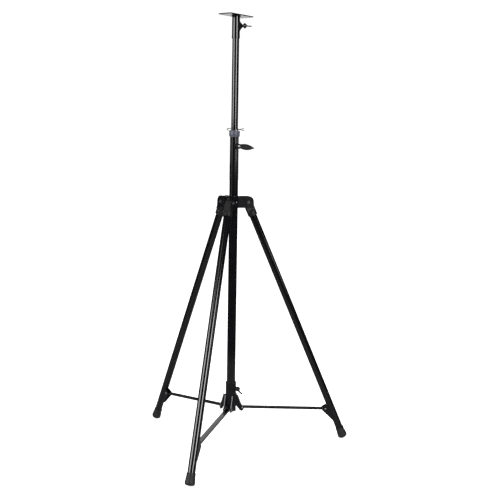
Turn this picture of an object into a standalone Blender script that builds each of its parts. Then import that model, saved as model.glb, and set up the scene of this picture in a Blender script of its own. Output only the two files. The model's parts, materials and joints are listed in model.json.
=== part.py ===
"""Tripod stand for a loudspeaker: a steel column on three folding legs, with a sliding pole in it.

Run it with: blender --background --python part.py
Units are metres and +Z is up. The floor is z = 0 and the origin is the middle of the whole stand.
Legs a, b and c stand 120 degrees apart. Each one hangs in a bracket of the upper hub and is held out
by a strut from the lower hub, which slides up the column when the legs fold.
"""

import math

import bmesh
import bpy
from mathutils import Vector

NAME = "speaker_tripod_stand"

# Driving dimensions of the frame
AXIS_Y = 0.157              # how far the column stands behind the middle of the three feet
COLUMN_R = 0.0225
COLUMN_BOTTOM = 0.1925
COLUMN_TOP = 1.630
WALL = 0.0015               # wall of every tube
POLE_R = 0.0175
POLE_BOTTOM = 1.254
POLE_TOP = 2.200
LEG_R = 0.01905
HINGE_R = 0.0745            # upper leg hinges: distance from the column's axis
HINGE_Z = 1.281
FOOT_R = 0.632              # where a leg's axis meets the floor
STRUT_IN_R = 0.058          # struts' inner pivots
STRUT_IN_Z = 0.203
PIVOT_ALONG = 1.198         # struts' outer pivots: from the upper hinge, along the leg
PIVOT_OFF = 0.036           # and inwards from the leg's axis
LEG_AZIMUTHS = {"a": -90.0, "b": 30.0, "c": 150.0}

# Clearances
GAP = 0.0003                # between pieces that touch
HOLE_GAP = 0.0003           # around a bolt in its hole

# Clamps
CLAMP_Z = 1.565
CLAMP_AZIMUTH = -38.0
HUB_CLAMP_Z = 0.311
HUB_CLAMP_AZIMUTH = -30.0
ADAPTER_CLAMP_Z = 2.162
ADAPTER_CLAMP_AZIMUTH = -10.0
CLAMP_SCREW_R = 0.004
SMALL_SCREW_R = 0.003

# Top plate
PLATE_TOP = 2.217
PLATE_THICK = 0.005
PLATE_LONG = 0.187
PLATE_WIDE = 0.080
PLATE_AZIMUTH = 68.0
PLATE_CORNER_R = 0.008
PLATE_HOLE_R = 0.0043
PLATE_HOLE_LONG = 0.150
PLATE_HOLE_WIDE = 0.052

# Upper hub
HUB_TOP = 1.3125
HUB_BOTTOM = 1.2525
HUB_R = 0.026
BRACKET_SLOT = 0.036        # the leg's knuckle fits in here
BRACKET_WIDTH = 0.041
KNUCKLE_THICK = 0.034

# Lower hub
SLEEVE_TOP = 0.337
SLEEVE_BOTTOM = 0.203
SLEEVE_R = 0.0275
SLEEVE_BORE = 0.0239
EAR_SLOT = 0.036
EAR_WIDTH = 0.041

# Struts are channels, open below
STRUT_WIDTH = 0.024
STRUT_DEEP = 0.010
STRUT_WALL = 0.0016
STRUT_END = 0.0085          # from the pivot to the channel's rounded end
BOLT_R = 0.003

# Derived from the dimensions above
LEG_TILT = math.atan2(FOOT_R - HINGE_R, HINGE_Z)
PIVOT_R = HINGE_R + PIVOT_ALONG * math.sin(LEG_TILT) - PIVOT_OFF * math.cos(LEG_TILT)
PIVOT_Z = HINGE_Z - PIVOT_ALONG * math.cos(LEG_TILT) - PIVOT_OFF * math.sin(LEG_TILT)
STRUT_LENGTH = math.hypot(PIVOT_R - STRUT_IN_R, STRUT_IN_Z - PIVOT_Z)
STRUT_TILT = math.atan2(STRUT_IN_Z - PIVOT_Z, PIVOT_R - STRUT_IN_R)

TUBE_SEGMENTS = 28
INNER_SEGMENTS = 24
SMALL_SEGMENTS = 12


def clear_scene():
    for old in list(bpy.data.objects):
        bpy.data.objects.remove(old, do_unlink=True)


def new_collection(name):
    found = bpy.data.collections.new(name)
    bpy.context.scene.collection.children.link(found)
    return found


def new_material(name, color, roughness, metallic):
    made = bpy.data.materials.new(name)
    made.use_nodes = True
    shader = made.node_tree.nodes["Principled BSDF"]
    shader.inputs["Base Color"].default_value = (*color, 1.0)
    shader.inputs["Roughness"].default_value = roughness
    shader.inputs["Metallic"].default_value = metallic
    made.diffuse_color = (*color, 1.0)
    return made


clear_scene()
PARTS = new_collection(NAME)
CUTTERS = new_collection("cutters")
PAINT = new_material("black_paint", (0.012, 0.012, 0.013), 0.22, 0.0)
SATIN = new_material("satin_black", (0.015, 0.015, 0.016), 0.40, 0.0)
PLASTIC = new_material("black_plastic", (0.020, 0.020, 0.021), 0.45, 0.0)
COLLAR = new_material("grey_plastic", (0.095, 0.105, 0.150), 0.42, 0.0)
RUBBER = new_material("black_rubber", (0.016, 0.016, 0.016), 0.70, 0.0)
STEEL = new_material("zinc_steel", (0.55, 0.55, 0.56), 0.30, 1.0)
CHROME = new_material("spring_wire", (0.62, 0.63, 0.65), 0.18, 1.0)
BRASS = new_material("brass", (0.60, 0.44, 0.20), 0.35, 1.0)


# ---------------------------------------------------------------- shapes

def frame(name, parent, location, rotation=(0.0, 0.0, 0.0)):
    """An empty that a group of pieces hangs on; a moving group's empty is on its joint's axis."""
    made = bpy.data.objects.new(name, None)
    made.empty_display_size = 0.05
    made.parent = parent
    made.location = location
    made.rotation_euler = rotation
    PARTS.objects.link(made)
    return made


def add(name, mesh, material, parent, location=(0.0, 0.0, 0.0), rotation=(0.0, 0.0, 0.0)):
    """A sub-part, or a cutter when it has no material."""
    made = bpy.data.objects.new(name, mesh)
    made.parent = parent
    made.location = location
    made.rotation_euler = rotation
    if material is None:
        CUTTERS.objects.link(made)
        made.hide_render = True
        made.display_type = "WIRE"
    else:
        PARTS.objects.link(made)
        mesh.materials.append(material)
    return made


def smooth(mesh):
    mesh.shade_smooth()
    mesh.set_sharp_from_angle(angle=math.radians(35.0))


def turned(name, profile, material, parent, location=(0, 0, 0), rotation=(0, 0, 0),
           segments=TUBE_SEGMENTS, ring=True):
    """A profile of (radius, height) turned about local Z. A ring's profile closes on itself."""
    mesh = bpy.data.meshes.new(name)
    count = len(profile)
    edges = [(i, i + 1) for i in range(count - 1)]
    if ring:
        edges.append((count - 1, 0))
    mesh.from_pydata([(radius, 0.0, height) for radius, height in profile], edges, [])
    made = add(name, mesh, material, parent, location, rotation)
    screw = made.modifiers.new("turn", "SCREW")
    screw.axis = "Z"
    screw.angle = math.tau
    screw.steps = segments
    screw.render_steps = segments
    screw.use_merge_vertices = True
    screw.merge_threshold = 0.00001
    screw.use_smooth_shade = True
    return made


def tube(outer, inner, top, bottom):
    """A tube's profile: down the outside and up the inside."""
    return [(outer, top), (outer, bottom), (inner, bottom), (inner, top)]


def rod(radius, top, bottom):
    """A solid bar's profile."""
    return [(0.0, top), (radius, top), (radius, bottom), (0.0, bottom)]


def cylinder_mesh(name, radius, depth, segments=TUBE_SEGMENTS):
    mesh = bpy.data.meshes.new(name)
    shape = bmesh.new()
    bmesh.ops.create_cone(shape, cap_ends=True, segments=segments,
                          radius1=radius, radius2=radius, depth=depth)
    shape.to_mesh(mesh)
    shape.free()
    return mesh


def box_mesh(name, size, centre=(0.0, 0.0, 0.0)):
    mesh = bpy.data.meshes.new(name)
    shape = bmesh.new()
    bmesh.ops.create_cube(shape, size=1.0)
    bmesh.ops.scale(shape, vec=size, verts=shape.verts)
    bmesh.ops.translate(shape, vec=centre, verts=shape.verts)
    shape.to_mesh(mesh)
    shape.free()
    return mesh


def arc(centre, radius, start, end, steps):
    """Points on an arc; angles are in degrees."""
    points = []
    for i in range(steps + 1):
        angle = math.radians(start + (end - start) * i / steps)
        points.append((centre[0] + radius * math.cos(angle), centre[1] + radius * math.sin(angle)))
    return points


def rounded(corners, steps=3):
    """An outline of (x, y, radius) corners, with an arc of that radius at each one."""
    points = []
    count = len(corners)
    for i, (x, y, radius) in enumerate(corners):
        here = Vector((x, y))
        if radius == 0.0:
            points.append((x, y))
            continue
        before = (Vector(corners[i - 1][:2]) - here).normalized()
        after = (Vector(corners[(i + 1) % count][:2]) - here).normalized()
        half = before.angle(after) / 2.0
        middle = (before + after).normalized()
        centre = here + middle * (radius / math.sin(half))
        start = here + before * (radius / math.tan(half)) - centre
        end = here + after * (radius / math.tan(half)) - centre
        for k in range(steps + 1):
            between = start.lerp(end, k / steps).normalized()
            points.append(tuple(centre + between * radius))
    return points


def plate_mesh(name, outlines, thickness):
    """Flat outlines in local XY, extruded half the thickness each way along local Z."""
    curve = bpy.data.curves.new(name, "CURVE")
    curve.dimensions = "2D"
    curve.fill_mode = "BOTH"
    curve.extrude = thickness / 2.0
    for outline in outlines:
        spline = curve.splines.new("POLY")
        spline.points.add(len(outline) - 1)
        spline.use_cyclic_u = True
        for point, (x, y) in zip(spline.points, outline):
            point.co = (x, y, 0.0, 1.0)
    holder = bpy.data.objects.new(name, curve)
    PARTS.objects.link(holder)
    return mesh_of_curve(holder)


def mesh_of_curve(holder):
    """The mesh of a curve object, with its caps welded on; the curve is removed."""
    graph = bpy.context.evaluated_depsgraph_get()
    mesh = bpy.data.meshes.new_from_object(holder.evaluated_get(graph))
    curve = holder.data
    bpy.data.objects.remove(holder, do_unlink=True)
    bpy.data.curves.remove(curve)
    shape = bmesh.new()
    shape.from_mesh(mesh)
    bmesh.ops.remove_doubles(shape, verts=shape.verts, dist=0.00001)
    bmesh.ops.recalc_face_normals(shape, faces=shape.faces)
    shape.to_mesh(mesh)
    shape.free()
    mesh.materials.clear()
    smooth(mesh)
    return mesh


def boolean(target, cutter, operation="DIFFERENCE"):
    made = target.modifiers.new(operation.lower(), "BOOLEAN")
    made.operation = operation
    made.object = cutter
    made.solver = "EXACT"


def radial_cutter(name, parent, radius, start, end, height, azimuth=0.0):
    """A cylinder that points away from the parent's Z axis, from one radius to another."""
    angle = math.radians(azimuth)
    middle = (start + end) / 2.0
    mesh = cylinder_mesh(name, radius, end - start, SMALL_SEGMENTS)
    return add(name, mesh, None, parent,
               (middle * math.cos(angle), middle * math.sin(angle), height),
               (0.0, math.pi / 2.0, angle))


def upright_cutter(name, parent, radius, bottom, top):
    mesh = cylinder_mesh(name, radius, top - bottom, TUBE_SEGMENTS)
    return add(name, mesh, None, parent, (0.0, 0.0, (top + bottom) / 2.0))


# ---------------------------------------------------------------- frames

AXIS = frame("column_axis", None, (0.0, AXIS_Y, 0.0))
POLE_FRAME = frame("pole_slide", AXIS, (0.0, 0.0, 0.0))
ADAPTER_FRAME = frame("adapter_turn", AXIS, (0.0, 0.0, PLATE_TOP))
HUB_FRAME = frame("hub_slide", AXIS, (0.0, 0.0, 0.0))
CLAMP_FRAME = frame("clamp_turn", AXIS, (0.0, 0.0, CLAMP_Z),
                    (0.0, 0.0, math.radians(CLAMP_AZIMUTH)))
HUB_CLAMP_FRAME = frame("hub_clamp_turn", HUB_FRAME, (0.0, 0.0, HUB_CLAMP_Z),
                        (0.0, 0.0, math.radians(HUB_CLAMP_AZIMUTH)))
ADAPTER_CLAMP_FRAME = frame("adapter_clamp_turn", AXIS, (0.0, 0.0, ADAPTER_CLAMP_Z),
                            (0.0, 0.0, math.radians(ADAPTER_CLAMP_AZIMUTH)))

# Turns of a piece in its frame
OUTWARD = (0.0, math.pi / 2.0, 0.0)             # local Z points along the frame's X
SIDEWAYS = (math.pi / 2.0, 0.0, 0.0)            # an outline in XY stands in the frame's XZ
ACROSS = (math.pi / 2.0, 0.0, math.pi / 2.0)    # an outline in XY stands in the frame's YZ


# ---------------------------------------------------------------- column

COLLAR_TOP = 1.6425
COLLAR_BOTTOM = 1.612
COLLAR_R = 0.0278
BUSH_BOTTOM = 1.590
RIVET_AZIMUTHS = (-30.0, 90.0, 210.0)
RIVET_Z = (HUB_TOP + HUB_BOTTOM) / 2.0
RIVET_R = 0.0024


def make_column():
    column = turned("column_tube", tube(COLUMN_R, COLUMN_R - WALL, COLUMN_TOP, COLUMN_BOTTOM),
                    PAINT, AXIS)
    hole = radial_cutter("column_screw_hole", AXIS, CLAMP_SCREW_R + HOLE_GAP,
                         0.015, 0.030, CLAMP_Z, CLAMP_AZIMUTH)
    boolean(column, hole)
    for number, azimuth in enumerate(RIVET_AZIMUTHS, 1):
        hole = radial_cutter(f"column_rivet_hole_{number}", AXIS, RIVET_R + HOLE_GAP,
                             0.015, 0.030, RIVET_Z, azimuth)
        boolean(column, hole)


def make_collar():
    """The guide bush in the column's mouth, with a collar that covers the column's rim."""
    bore = POLE_R + GAP
    inside = COLUMN_R - WALL - GAP
    outside = COLUMN_R + GAP
    rim = COLUMN_TOP + GAP
    profile = [
        (COLLAR_R - 0.0022, COLLAR_TOP),
        (COLLAR_R, COLLAR_TOP - 0.0022),
        (COLLAR_R, COLLAR_BOTTOM + 0.011),
        (COLLAR_R - 0.0012, COLLAR_BOTTOM + 0.006),
        (outside + 0.0014, COLLAR_BOTTOM),
        (outside, COLLAR_BOTTOM),
        (outside, rim),
        (inside, rim),
        (inside, BUSH_BOTTOM),
        (bore, BUSH_BOTTOM),
        (bore, COLLAR_TOP),
    ]
    turned("column_collar", profile, COLLAR, AXIS)


CLIP_WIRE_R = 0.0018
CLIP_LEFT = -0.038          # the closed end's reach from the pole's axis
CLIP_RIGHT = 0.049          # the open ends' reach
CLIP_TILT = 18.0            # degrees; its far side rides up on the pole
CLIP_AZIMUTH = 24.0         # its long axis
CLIP_CROSS = 0.032          # where its two ends cross
CLIP_SPREAD = 0.0085        # half the width between its finger ends


def make_wire_clip():
    """A sprung wire clip lying on the collar round the pole; its two ends cross and flare."""
    side_r = POLE_R + CLIP_WIRE_R + 0.0016
    centre = CLIP_LEFT + side_r
    half = [(CLIP_RIGHT, -CLIP_SPREAD), (CLIP_RIGHT - 0.007, -0.0055), (CLIP_CROSS, 0.0)]
    half += [(CLIP_CROSS - 0.006, 0.0058), (CLIP_CROSS - 0.014, 0.0135), (0.008, side_r - 0.0012)]
    half += arc((centre, 0.0), side_r, 90.0, 180.0, 7)
    other = [(x, -y) for x, y in reversed(half[:-1])]
    path = half + other
    last = len(path) - 1
    curve = bpy.data.curves.new("collar_wire_clip", "CURVE")
    curve.dimensions = "3D"
    curve.bevel_depth = CLIP_WIRE_R
    curve.bevel_resolution = 2
    curve.use_fill_caps = True
    spline = curve.splines.new("POLY")
    spline.points.add(last)
    crossing = CLIP_WIRE_R * 1.2 + GAP
    for i, (x, y) in enumerate(path):
        lift = crossing * (2.0 * i / last - 1.0)
        spline.points[i].co = (x, y, lift, 1.0)
    tilt = math.radians(CLIP_TILT)
    lowest = side_r * math.sin(tilt) + CLIP_WIRE_R - crossing / 2.0 + GAP
    made = bpy.data.objects.new("collar_wire_clip", curve)
    made.parent = AXIS
    made.location = (0.0, 0.0, COLLAR_TOP + lowest)
    made.rotation_euler = (tilt, 0.0, math.radians(CLIP_AZIMUTH))
    curve.materials.append(CHROME)
    PARTS.objects.link(made)


CAP_R = 0.0245
CAP_BOTTOM = 0.1865
CAP_TOP = 0.2023


def make_end_cap():
    """The cup on the column's lower end, which is also the lower hub's stop."""
    floor = COLUMN_BOTTOM - GAP
    bore = COLUMN_R + GAP
    profile = [
        (0.0, floor),
        (bore, floor),
        (bore, CAP_TOP),
        (CAP_R - 0.0008, CAP_TOP),
        (CAP_R, CAP_TOP - 0.0008),
        (CAP_R, CAP_BOTTOM + 0.004),
        (CAP_R - 0.004, CAP_BOTTOM),
        (0.0, CAP_BOTTOM),
    ]
    turned("column_end_cap", profile, PLASTIC, AXIS, ring=False)


# ---------------------------------------------------------------- column clamp

BOSS_R = 0.0135
BOSS_FACE = 0.034           # distances from the column's axis
LEVER_FACE = 0.0463
LEVER_HUB_R = 0.0125
BLADE_THICK = 0.008
BLADE_LENGTH = 0.087
BLADE_NECK = 0.0102         # half widths
BLADE_BELLY = 0.0085
BLADE_DROOP = 0.0085
PAD_WIDE = 0.014
PAD_TALL = 0.018


def blade_outline(start, length, steps=9):
    """A leaf that springs from a neck, swells and runs out to a drooping tip."""
    upper = []
    lower = []
    for i in range(steps + 1):
        t = i / steps
        half = BLADE_NECK * (1.0 - t) + BLADE_BELLY * math.sin(math.pi * t) + 0.0008
        middle = -BLADE_DROOP * t
        upper.append((start + length * t, middle + half))
        lower.append((start + length * t, middle - half))
    return lower + upper[::-1]


def make_column_clamp():
    bore = CLAMP_SCREW_R + HOLE_GAP
    boss = turned("clamp_boss", [(BOSS_R - 0.0015, BOSS_FACE), (BOSS_R, BOSS_FACE - 0.0015),
                                 (BOSS_R, 0.016), (bore, 0.016), (bore, BOSS_FACE)],
                  SATIN, CLAMP_FRAME, rotation=OUTWARD, segments=INNER_SEGMENTS)
    boolean(boss, upright_cutter("clamp_boss_saddle", AXIS, COLUMN_R + GAP,
                                 CLAMP_Z - 0.03, CLAMP_Z + 0.03))

    pad_face = COLUMN_R - WALL - GAP
    head = LEVER_FACE + 0.0037
    screw = [(0.0, head), (0.0055, head), (0.0068, head - 0.0013), (0.0068, LEVER_FACE + GAP),
             (CLAMP_SCREW_R, LEVER_FACE + GAP), (CLAMP_SCREW_R, pad_face + GAP),
             (0.0, pad_face + GAP)]
    turned("clamp_screw", screw, STEEL, CLAMP_FRAME, rotation=OUTWARD, segments=SMALL_SEGMENTS,
           ring=False)

    middle = (BOSS_FACE + LEVER_FACE) / 2.0
    blade = plate_mesh("clamp_lever", [blade_outline(0.010, BLADE_LENGTH)], BLADE_THICK)
    lever = add("clamp_lever", blade, PLASTIC, CLAMP_FRAME, (middle, 0.0, 0.0), ACROSS)
    hub_mesh = cylinder_mesh("clamp_lever_hub", LEVER_HUB_R, LEVER_FACE - BOSS_FACE - GAP, INNER_SEGMENTS)
    hub = add("clamp_lever_hub", hub_mesh, None, CLAMP_FRAME, (middle + GAP / 2.0, 0.0, 0.0), OUTWARD)
    boolean(lever, hub, "UNION")
    boolean(lever, radial_cutter("clamp_lever_bore", CLAMP_FRAME, bore, 0.030, 0.055, 0.0))

    pad = add("clamp_pad", box_mesh("clamp_pad", (0.006, PAD_WIDE, PAD_TALL)), BRASS,
              CLAMP_FRAME, (POLE_R + 0.002, 0.0, 0.0))
    boolean(pad, upright_cutter("clamp_pad_inside", AXIS, POLE_R + GAP,
                                CLAMP_Z - 0.03, CLAMP_Z + 0.03))
    boolean(pad, upright_cutter("clamp_pad_outside", AXIS, pad_face,
                                CLAMP_Z - 0.03, CLAMP_Z + 0.03), "INTERSECT")


# ---------------------------------------------------------------- pole

def make_pole():
    turned("inner_pole", tube(POLE_R, POLE_R - WALL, POLE_TOP, POLE_BOTTOM), PAINT, POLE_FRAME)
    outside = COLUMN_R - WALL - GAP
    bottom = POLE_BOTTOM - 0.014
    top = POLE_BOTTOM + 0.030
    bush = [(outside - 0.001, top), (outside, top - 0.001), (outside, bottom), (0.0145, bottom),
            (0.0145, POLE_BOTTOM - GAP), (POLE_R + GAP, POLE_BOTTOM - GAP), (POLE_R + GAP, top)]
    turned("pole_bottom_bush", bush, PLASTIC, POLE_FRAME, segments=INNER_SEGMENTS)
    plug_r = POLE_R - WALL - GAP
    flange = POLE_TOP + GAP
    plug = [(0.0, flange + 0.004), (POLE_R - 0.002, flange + 0.004), (POLE_R - 0.0005, flange + 0.0025),
            (POLE_R - 0.0005, flange), (plug_r, flange), (plug_r, POLE_TOP - 0.020),
            (0.0, POLE_TOP - 0.020)]
    turned("pole_top_plug", plug, PLASTIC, POLE_FRAME, segments=INNER_SEGMENTS, ring=False)


# ---------------------------------------------------------------- adapter

ADAPTER_R = 0.0205
ADAPTER_BORE = 0.0179
ADAPTER_BOTTOM = 2.102
ADAPTER_BOSS_FACE = 0.0365
GUSSET_HALF = 0.0245        # half the gusset's height where it meets the sleeve
GUSSET_TIP = 0.0065
GUSSET_FLAT = 0.42          # its thickness against its height
ADAPTER_BOSS_R = 0.0068


def make_adapter():
    under_plate = PLATE_TOP - PLATE_THICK
    sleeve = turned("adapter_sleeve", tube(ADAPTER_R, ADAPTER_BORE, under_plate - GAP - PLATE_TOP,
                                           ADAPTER_BOTTOM - PLATE_TOP), PAINT, ADAPTER_FRAME)
    boolean(sleeve, radial_cutter("adapter_screw_hole", ADAPTER_CLAMP_FRAME,
                                  SMALL_SCREW_R + HOLE_GAP, 0.012, 0.030, 0.0))

    half_long = PLATE_LONG / 2.0
    half_wide = PLATE_WIDE / 2.0
    edge = rounded([(x, y, PLATE_CORNER_R) for x, y in ((-half_long, -half_wide), (half_long, -half_wide),
                                                        (half_long, half_wide), (-half_long, half_wide))])
    holes = [arc((x * PLATE_HOLE_LONG / 2.0, y * PLATE_HOLE_WIDE / 2.0), PLATE_HOLE_R, 0.0, 337.5, 15)
             for x in (-1, 1) for y in (-1, 1)]
    plate = plate_mesh("adapter_plate", [edge] + holes, PLATE_THICK)
    add("adapter_plate", plate, PAINT, ADAPTER_FRAME, (0.0, 0.0, -PLATE_THICK / 2.0),
        (0.0, 0.0, math.radians(PLATE_AZIMUTH)))

    slope = (GUSSET_HALF - GUSSET_TIP) / (ADAPTER_BOSS_FACE - ADAPTER_R)
    start = 0.012
    base = GUSSET_TIP + slope * (ADAPTER_BOSS_FACE - start)
    mesh = bpy.data.meshes.new("adapter_boss")
    shape = bmesh.new()
    bmesh.ops.create_cone(shape, cap_ends=True, segments=INNER_SEGMENTS, radius1=base, radius2=GUSSET_TIP,
                          depth=ADAPTER_BOSS_FACE - start)
    bmesh.ops.scale(shape, vec=(1.0, GUSSET_FLAT, 1.0), verts=shape.verts)
    shape.to_mesh(mesh)
    shape.free()
    boss = add("adapter_boss", mesh, SATIN, ADAPTER_CLAMP_FRAME,
               ((start + ADAPTER_BOSS_FACE) / 2.0, 0.0, 0.0), OUTWARD)
    nut = radial_cutter("adapter_boss_nut", ADAPTER_CLAMP_FRAME, ADAPTER_BOSS_R,
                        0.014, ADAPTER_BOSS_FACE + 0.0012, 0.0)
    boolean(boss, nut, "UNION")
    boolean(boss, upright_cutter("adapter_boss_saddle", AXIS, ADAPTER_R + GAP,
                                 ADAPTER_CLAMP_Z - 0.06, ADAPTER_CLAMP_Z + 0.05))
    boolean(boss, radial_cutter("adapter_boss_bore", ADAPTER_CLAMP_FRAME,
                                SMALL_SCREW_R + HOLE_GAP, 0.010, 0.045, 0.0))


# ---------------------------------------------------------------- small clamp screws with a cranked handle

HANDLE_LEAN = 45.0          # degrees between the handle and the screw


def make_handle_screw(name, parent, tip, head_profile, handle):
    """A clamp screw, and its head with a slim handle, given as its radius, its length, its root's
    distances along and from the screw, and the degrees round the screw from the frame's Y to its Z."""
    radius, length, root, reach, direction = handle
    near = head_profile[-1][1]
    far = head_profile[0][1]
    bore = SMALL_SCREW_R + HOLE_GAP
    turned(f"{name}_screw", rod(SMALL_SCREW_R, far + 0.0015, tip), STEEL, parent,
           rotation=OUTWARD, segments=SMALL_SEGMENTS, ring=False)
    head = turned(f"{name}_knob", head_profile + [(bore, near), (bore, far)], PLASTIC, parent,
                  rotation=OUTWARD, segments=SMALL_SEGMENTS)
    lean = math.radians(HANDLE_LEAN)
    around = math.radians(direction)
    along = Vector((math.cos(lean), math.sin(lean) * math.cos(around),
                    math.sin(lean) * math.sin(around)))
    base = Vector((root, reach * math.cos(around), reach * math.sin(around)))
    mesh = cylinder_mesh(f"{name}_handle", radius, length, SMALL_SEGMENTS)
    bar = add(f"{name}_handle", mesh, None, parent, base + along * length / 2.0,
              along.to_track_quat("Z", "X").to_euler())
    boolean(head, bar, "UNION")


def make_small_clamps():
    near = ADAPTER_BOSS_FACE + 0.0016
    far = near + 0.0215
    diamond = [(0.0055, far), (0.0135, (near + far) / 2.0 + 0.001),
               (0.0135, (near + far) / 2.0 - 0.001), (0.0055, near)]
    make_handle_screw("adapter", ADAPTER_CLAMP_FRAME, POLE_R + GAP, diamond,
                      (0.0030, 0.034, (near + far) / 2.0, 0.006, 0.0))

    near = HUB_BOSS_FACE + GAP
    far = near + 0.019
    block = [(0.0105, far), (0.0120, far - 0.0014), (0.0120, near + 0.005), (0.0080, near)]
    make_handle_screw("lower_hub", HUB_CLAMP_FRAME, COLUMN_R + GAP, block,
                      (0.0042, 0.034, near + 0.005, 0.008, -57.0))


# ---------------------------------------------------------------- upper hub

def make_upper_hub():
    sleeve = turned("upper_hub_sleeve", tube(HUB_R, COLUMN_R + GAP, HUB_TOP + 0.001, HUB_BOTTOM - 0.001),
                    SATIN, AXIS)
    for number, azimuth in enumerate(RIVET_AZIMUTHS, 1):
        hole = radial_cutter(f"hub_rivet_hole_{number}", AXIS, RIVET_R + HOLE_GAP,
                             0.015, 0.032, RIVET_Z, azimuth)
        boolean(sleeve, hole)
        angle = math.radians(azimuth)
        seat = HUB_R + GAP
        profile = [(0.0, seat + 0.0024), (0.0028, seat + 0.0018), (0.0045, seat), (RIVET_R, seat),
                   (RIVET_R, COLUMN_R - WALL), (0.0, COLUMN_R - WALL)]
        turned(f"hub_rivet_{number}", profile, STEEL, AXIS, (0.0, 0.0, RIVET_Z),
               (0.0, math.pi / 2.0, angle), SMALL_SEGMENTS, ring=False)


def bracket_outline():
    return rounded([(0.020, HUB_TOP, 0.0), (0.020, HUB_BOTTOM, 0.0),
                    (0.1045, HUB_BOTTOM, 0.0030), (0.1010, HUB_TOP, 0.0260)])


def make_hub_bracket(letter, hub):
    """A clevis of two side plates on a web, where a leg's knuckle hangs."""
    bracket = add(f"hub_bracket_{letter}", plate_mesh("bracket", [bracket_outline()], BRACKET_WIDTH),
                  SATIN, hub, rotation=SIDEWAYS)
    middle = (HUB_TOP + HUB_BOTTOM) / 2.0
    slot = add(f"bracket_slot_{letter}", box_mesh("slot", (0.100, BRACKET_SLOT, 0.080)), None, hub,
               (0.080, 0.0, middle))
    boolean(bracket, slot)
    boolean(bracket, upright_cutter(f"bracket_saddle_{letter}", AXIS, HUB_R + GAP,
                                    HUB_BOTTOM - 0.02, HUB_TOP + 0.02))
    hole_mesh = cylinder_mesh("hinge_hole", HINGE_BOLT_R + HOLE_GAP, 0.060, SMALL_SEGMENTS)
    hole = add(f"bracket_hole_{letter}", hole_mesh, None, hub, (HINGE_R, 0.0, HINGE_Z), SIDEWAYS)
    boolean(bracket, hole)


HINGE_BOLT_R = 0.004
HINGE_HEAD_R = 0.0065
WASHER_R = 0.0088


def make_hinge_hardware(letter, hub):
    """The hinge bolt's head on one side plate and its nut on the other, with their ends in the holes."""
    outer = BRACKET_WIDTH / 2.0 + GAP
    inner = BRACKET_SLOT / 2.0
    for name, turn, tall in ((f"hinge_bolt_{letter}", -math.pi / 2.0, 0.0050),
                             (f"hinge_nut_{letter}", math.pi / 2.0, 0.0062)):
        washer = outer + 0.0015
        profile = [(0.0, washer + tall), (HINGE_HEAD_R - 0.001, washer + tall),
                   (HINGE_HEAD_R, washer + tall - 0.001), (HINGE_HEAD_R, washer),
                   (WASHER_R, washer), (WASHER_R, outer), (HINGE_BOLT_R, outer),
                   (HINGE_BOLT_R, inner), (0.0, inner)]
        turned(name, profile, SATIN, hub, (HINGE_R, 0.0, HINGE_Z), (turn, 0.0, 0.0),
               SMALL_SEGMENTS, ring=False)


# ---------------------------------------------------------------- lower hub

HUB_BOSS_R = 0.0095
HUB_BOSS_FACE = 0.040


def ear_outline():
    """An ear of the lower hub: it flares from the sleeve out to the strut's pivot."""
    return rounded([(0.018, 0.276, 0.0), (0.018, 0.214, 0.0), (0.029, 0.214, 0.003),
                    (0.044, 0.190, 0.006), (0.058, 0.1835, 0.006), (0.0705, 0.204, 0.007),
                    (0.052, 0.224, 0.012), (0.037, 0.268, 0.010)])


def make_lower_hub():
    height = SLEEVE_TOP - SLEEVE_BOTTOM
    hub = add("lower_hub", cylinder_mesh("lower_hub", SLEEVE_R, height), SATIN, HUB_FRAME,
              (0.0, 0.0, (SLEEVE_TOP + SLEEVE_BOTTOM) / 2.0))
    for letter, azimuth in LEG_AZIMUTHS.items():
        angle = math.radians(azimuth)
        arm = frame(f"ear_{letter}", HUB_FRAME, (0.0, 0.0, 0.0), (0.0, 0.0, angle))
        ears = add(f"ear_solid_{letter}", plate_mesh("ears", [ear_outline()], EAR_WIDTH), None, arm,
                   rotation=SIDEWAYS)
        boolean(hub, ears, "UNION")
    for letter, azimuth in LEG_AZIMUTHS.items():
        arm = bpy.data.objects[f"ear_{letter}"]
        slot = add(f"ear_slot_{letter}", box_mesh("slot", (0.060, EAR_SLOT, 0.130)), None, arm,
                   (0.0592, 0.0, 0.230))
        boolean(hub, slot)
        hole_mesh = cylinder_mesh("pivot_hole", BOLT_R + HOLE_GAP, 0.050, SMALL_SEGMENTS)
        hole = add(f"ear_hole_{letter}", hole_mesh, None, arm, (STRUT_IN_R, 0.0, STRUT_IN_Z), SIDEWAYS)
        boolean(hub, hole)
    boolean(hub, upright_cutter("lower_hub_bore", HUB_FRAME, SLEEVE_BORE,
                                SLEEVE_BOTTOM - 0.02, SLEEVE_TOP + 0.02))
    screw_hole = radial_cutter("hub_screw_hole", HUB_CLAMP_FRAME, SMALL_SCREW_R + HOLE_GAP,
                               0.012, 0.050, 0.0)
    boolean(hub, screw_hole)

    liner = SLEEVE_BORE - GAP
    rim = SLEEVE_TOP + GAP
    profile = [(0.0262, rim + 0.004), (0.0270, rim + 0.0032), (0.0270, rim), (liner, rim),
               (liner, SLEEVE_BOTTOM), (COLUMN_R + GAP, SLEEVE_BOTTOM), (COLUMN_R + GAP, rim + 0.004)]
    bush = turned("lower_hub_bush", profile, PLASTIC, HUB_FRAME, segments=INNER_SEGMENTS)
    boolean(bush, screw_hole)

    bore = SMALL_SCREW_R + HOLE_GAP
    boss = turned("lower_hub_boss", [(HUB_BOSS_R - 0.001, HUB_BOSS_FACE), (HUB_BOSS_R, HUB_BOSS_FACE - 0.001),
                                     (HUB_BOSS_R, 0.020), (bore, 0.020), (bore, HUB_BOSS_FACE)],
                  SATIN, HUB_CLAMP_FRAME, rotation=OUTWARD, segments=INNER_SEGMENTS)
    boolean(boss, upright_cutter("hub_boss_saddle", HUB_FRAME, SLEEVE_R + GAP,
                                 HUB_CLAMP_Z - 0.03, HUB_CLAMP_Z + 0.03))


# ---------------------------------------------------------------- pivot pins, struts and legs

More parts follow.
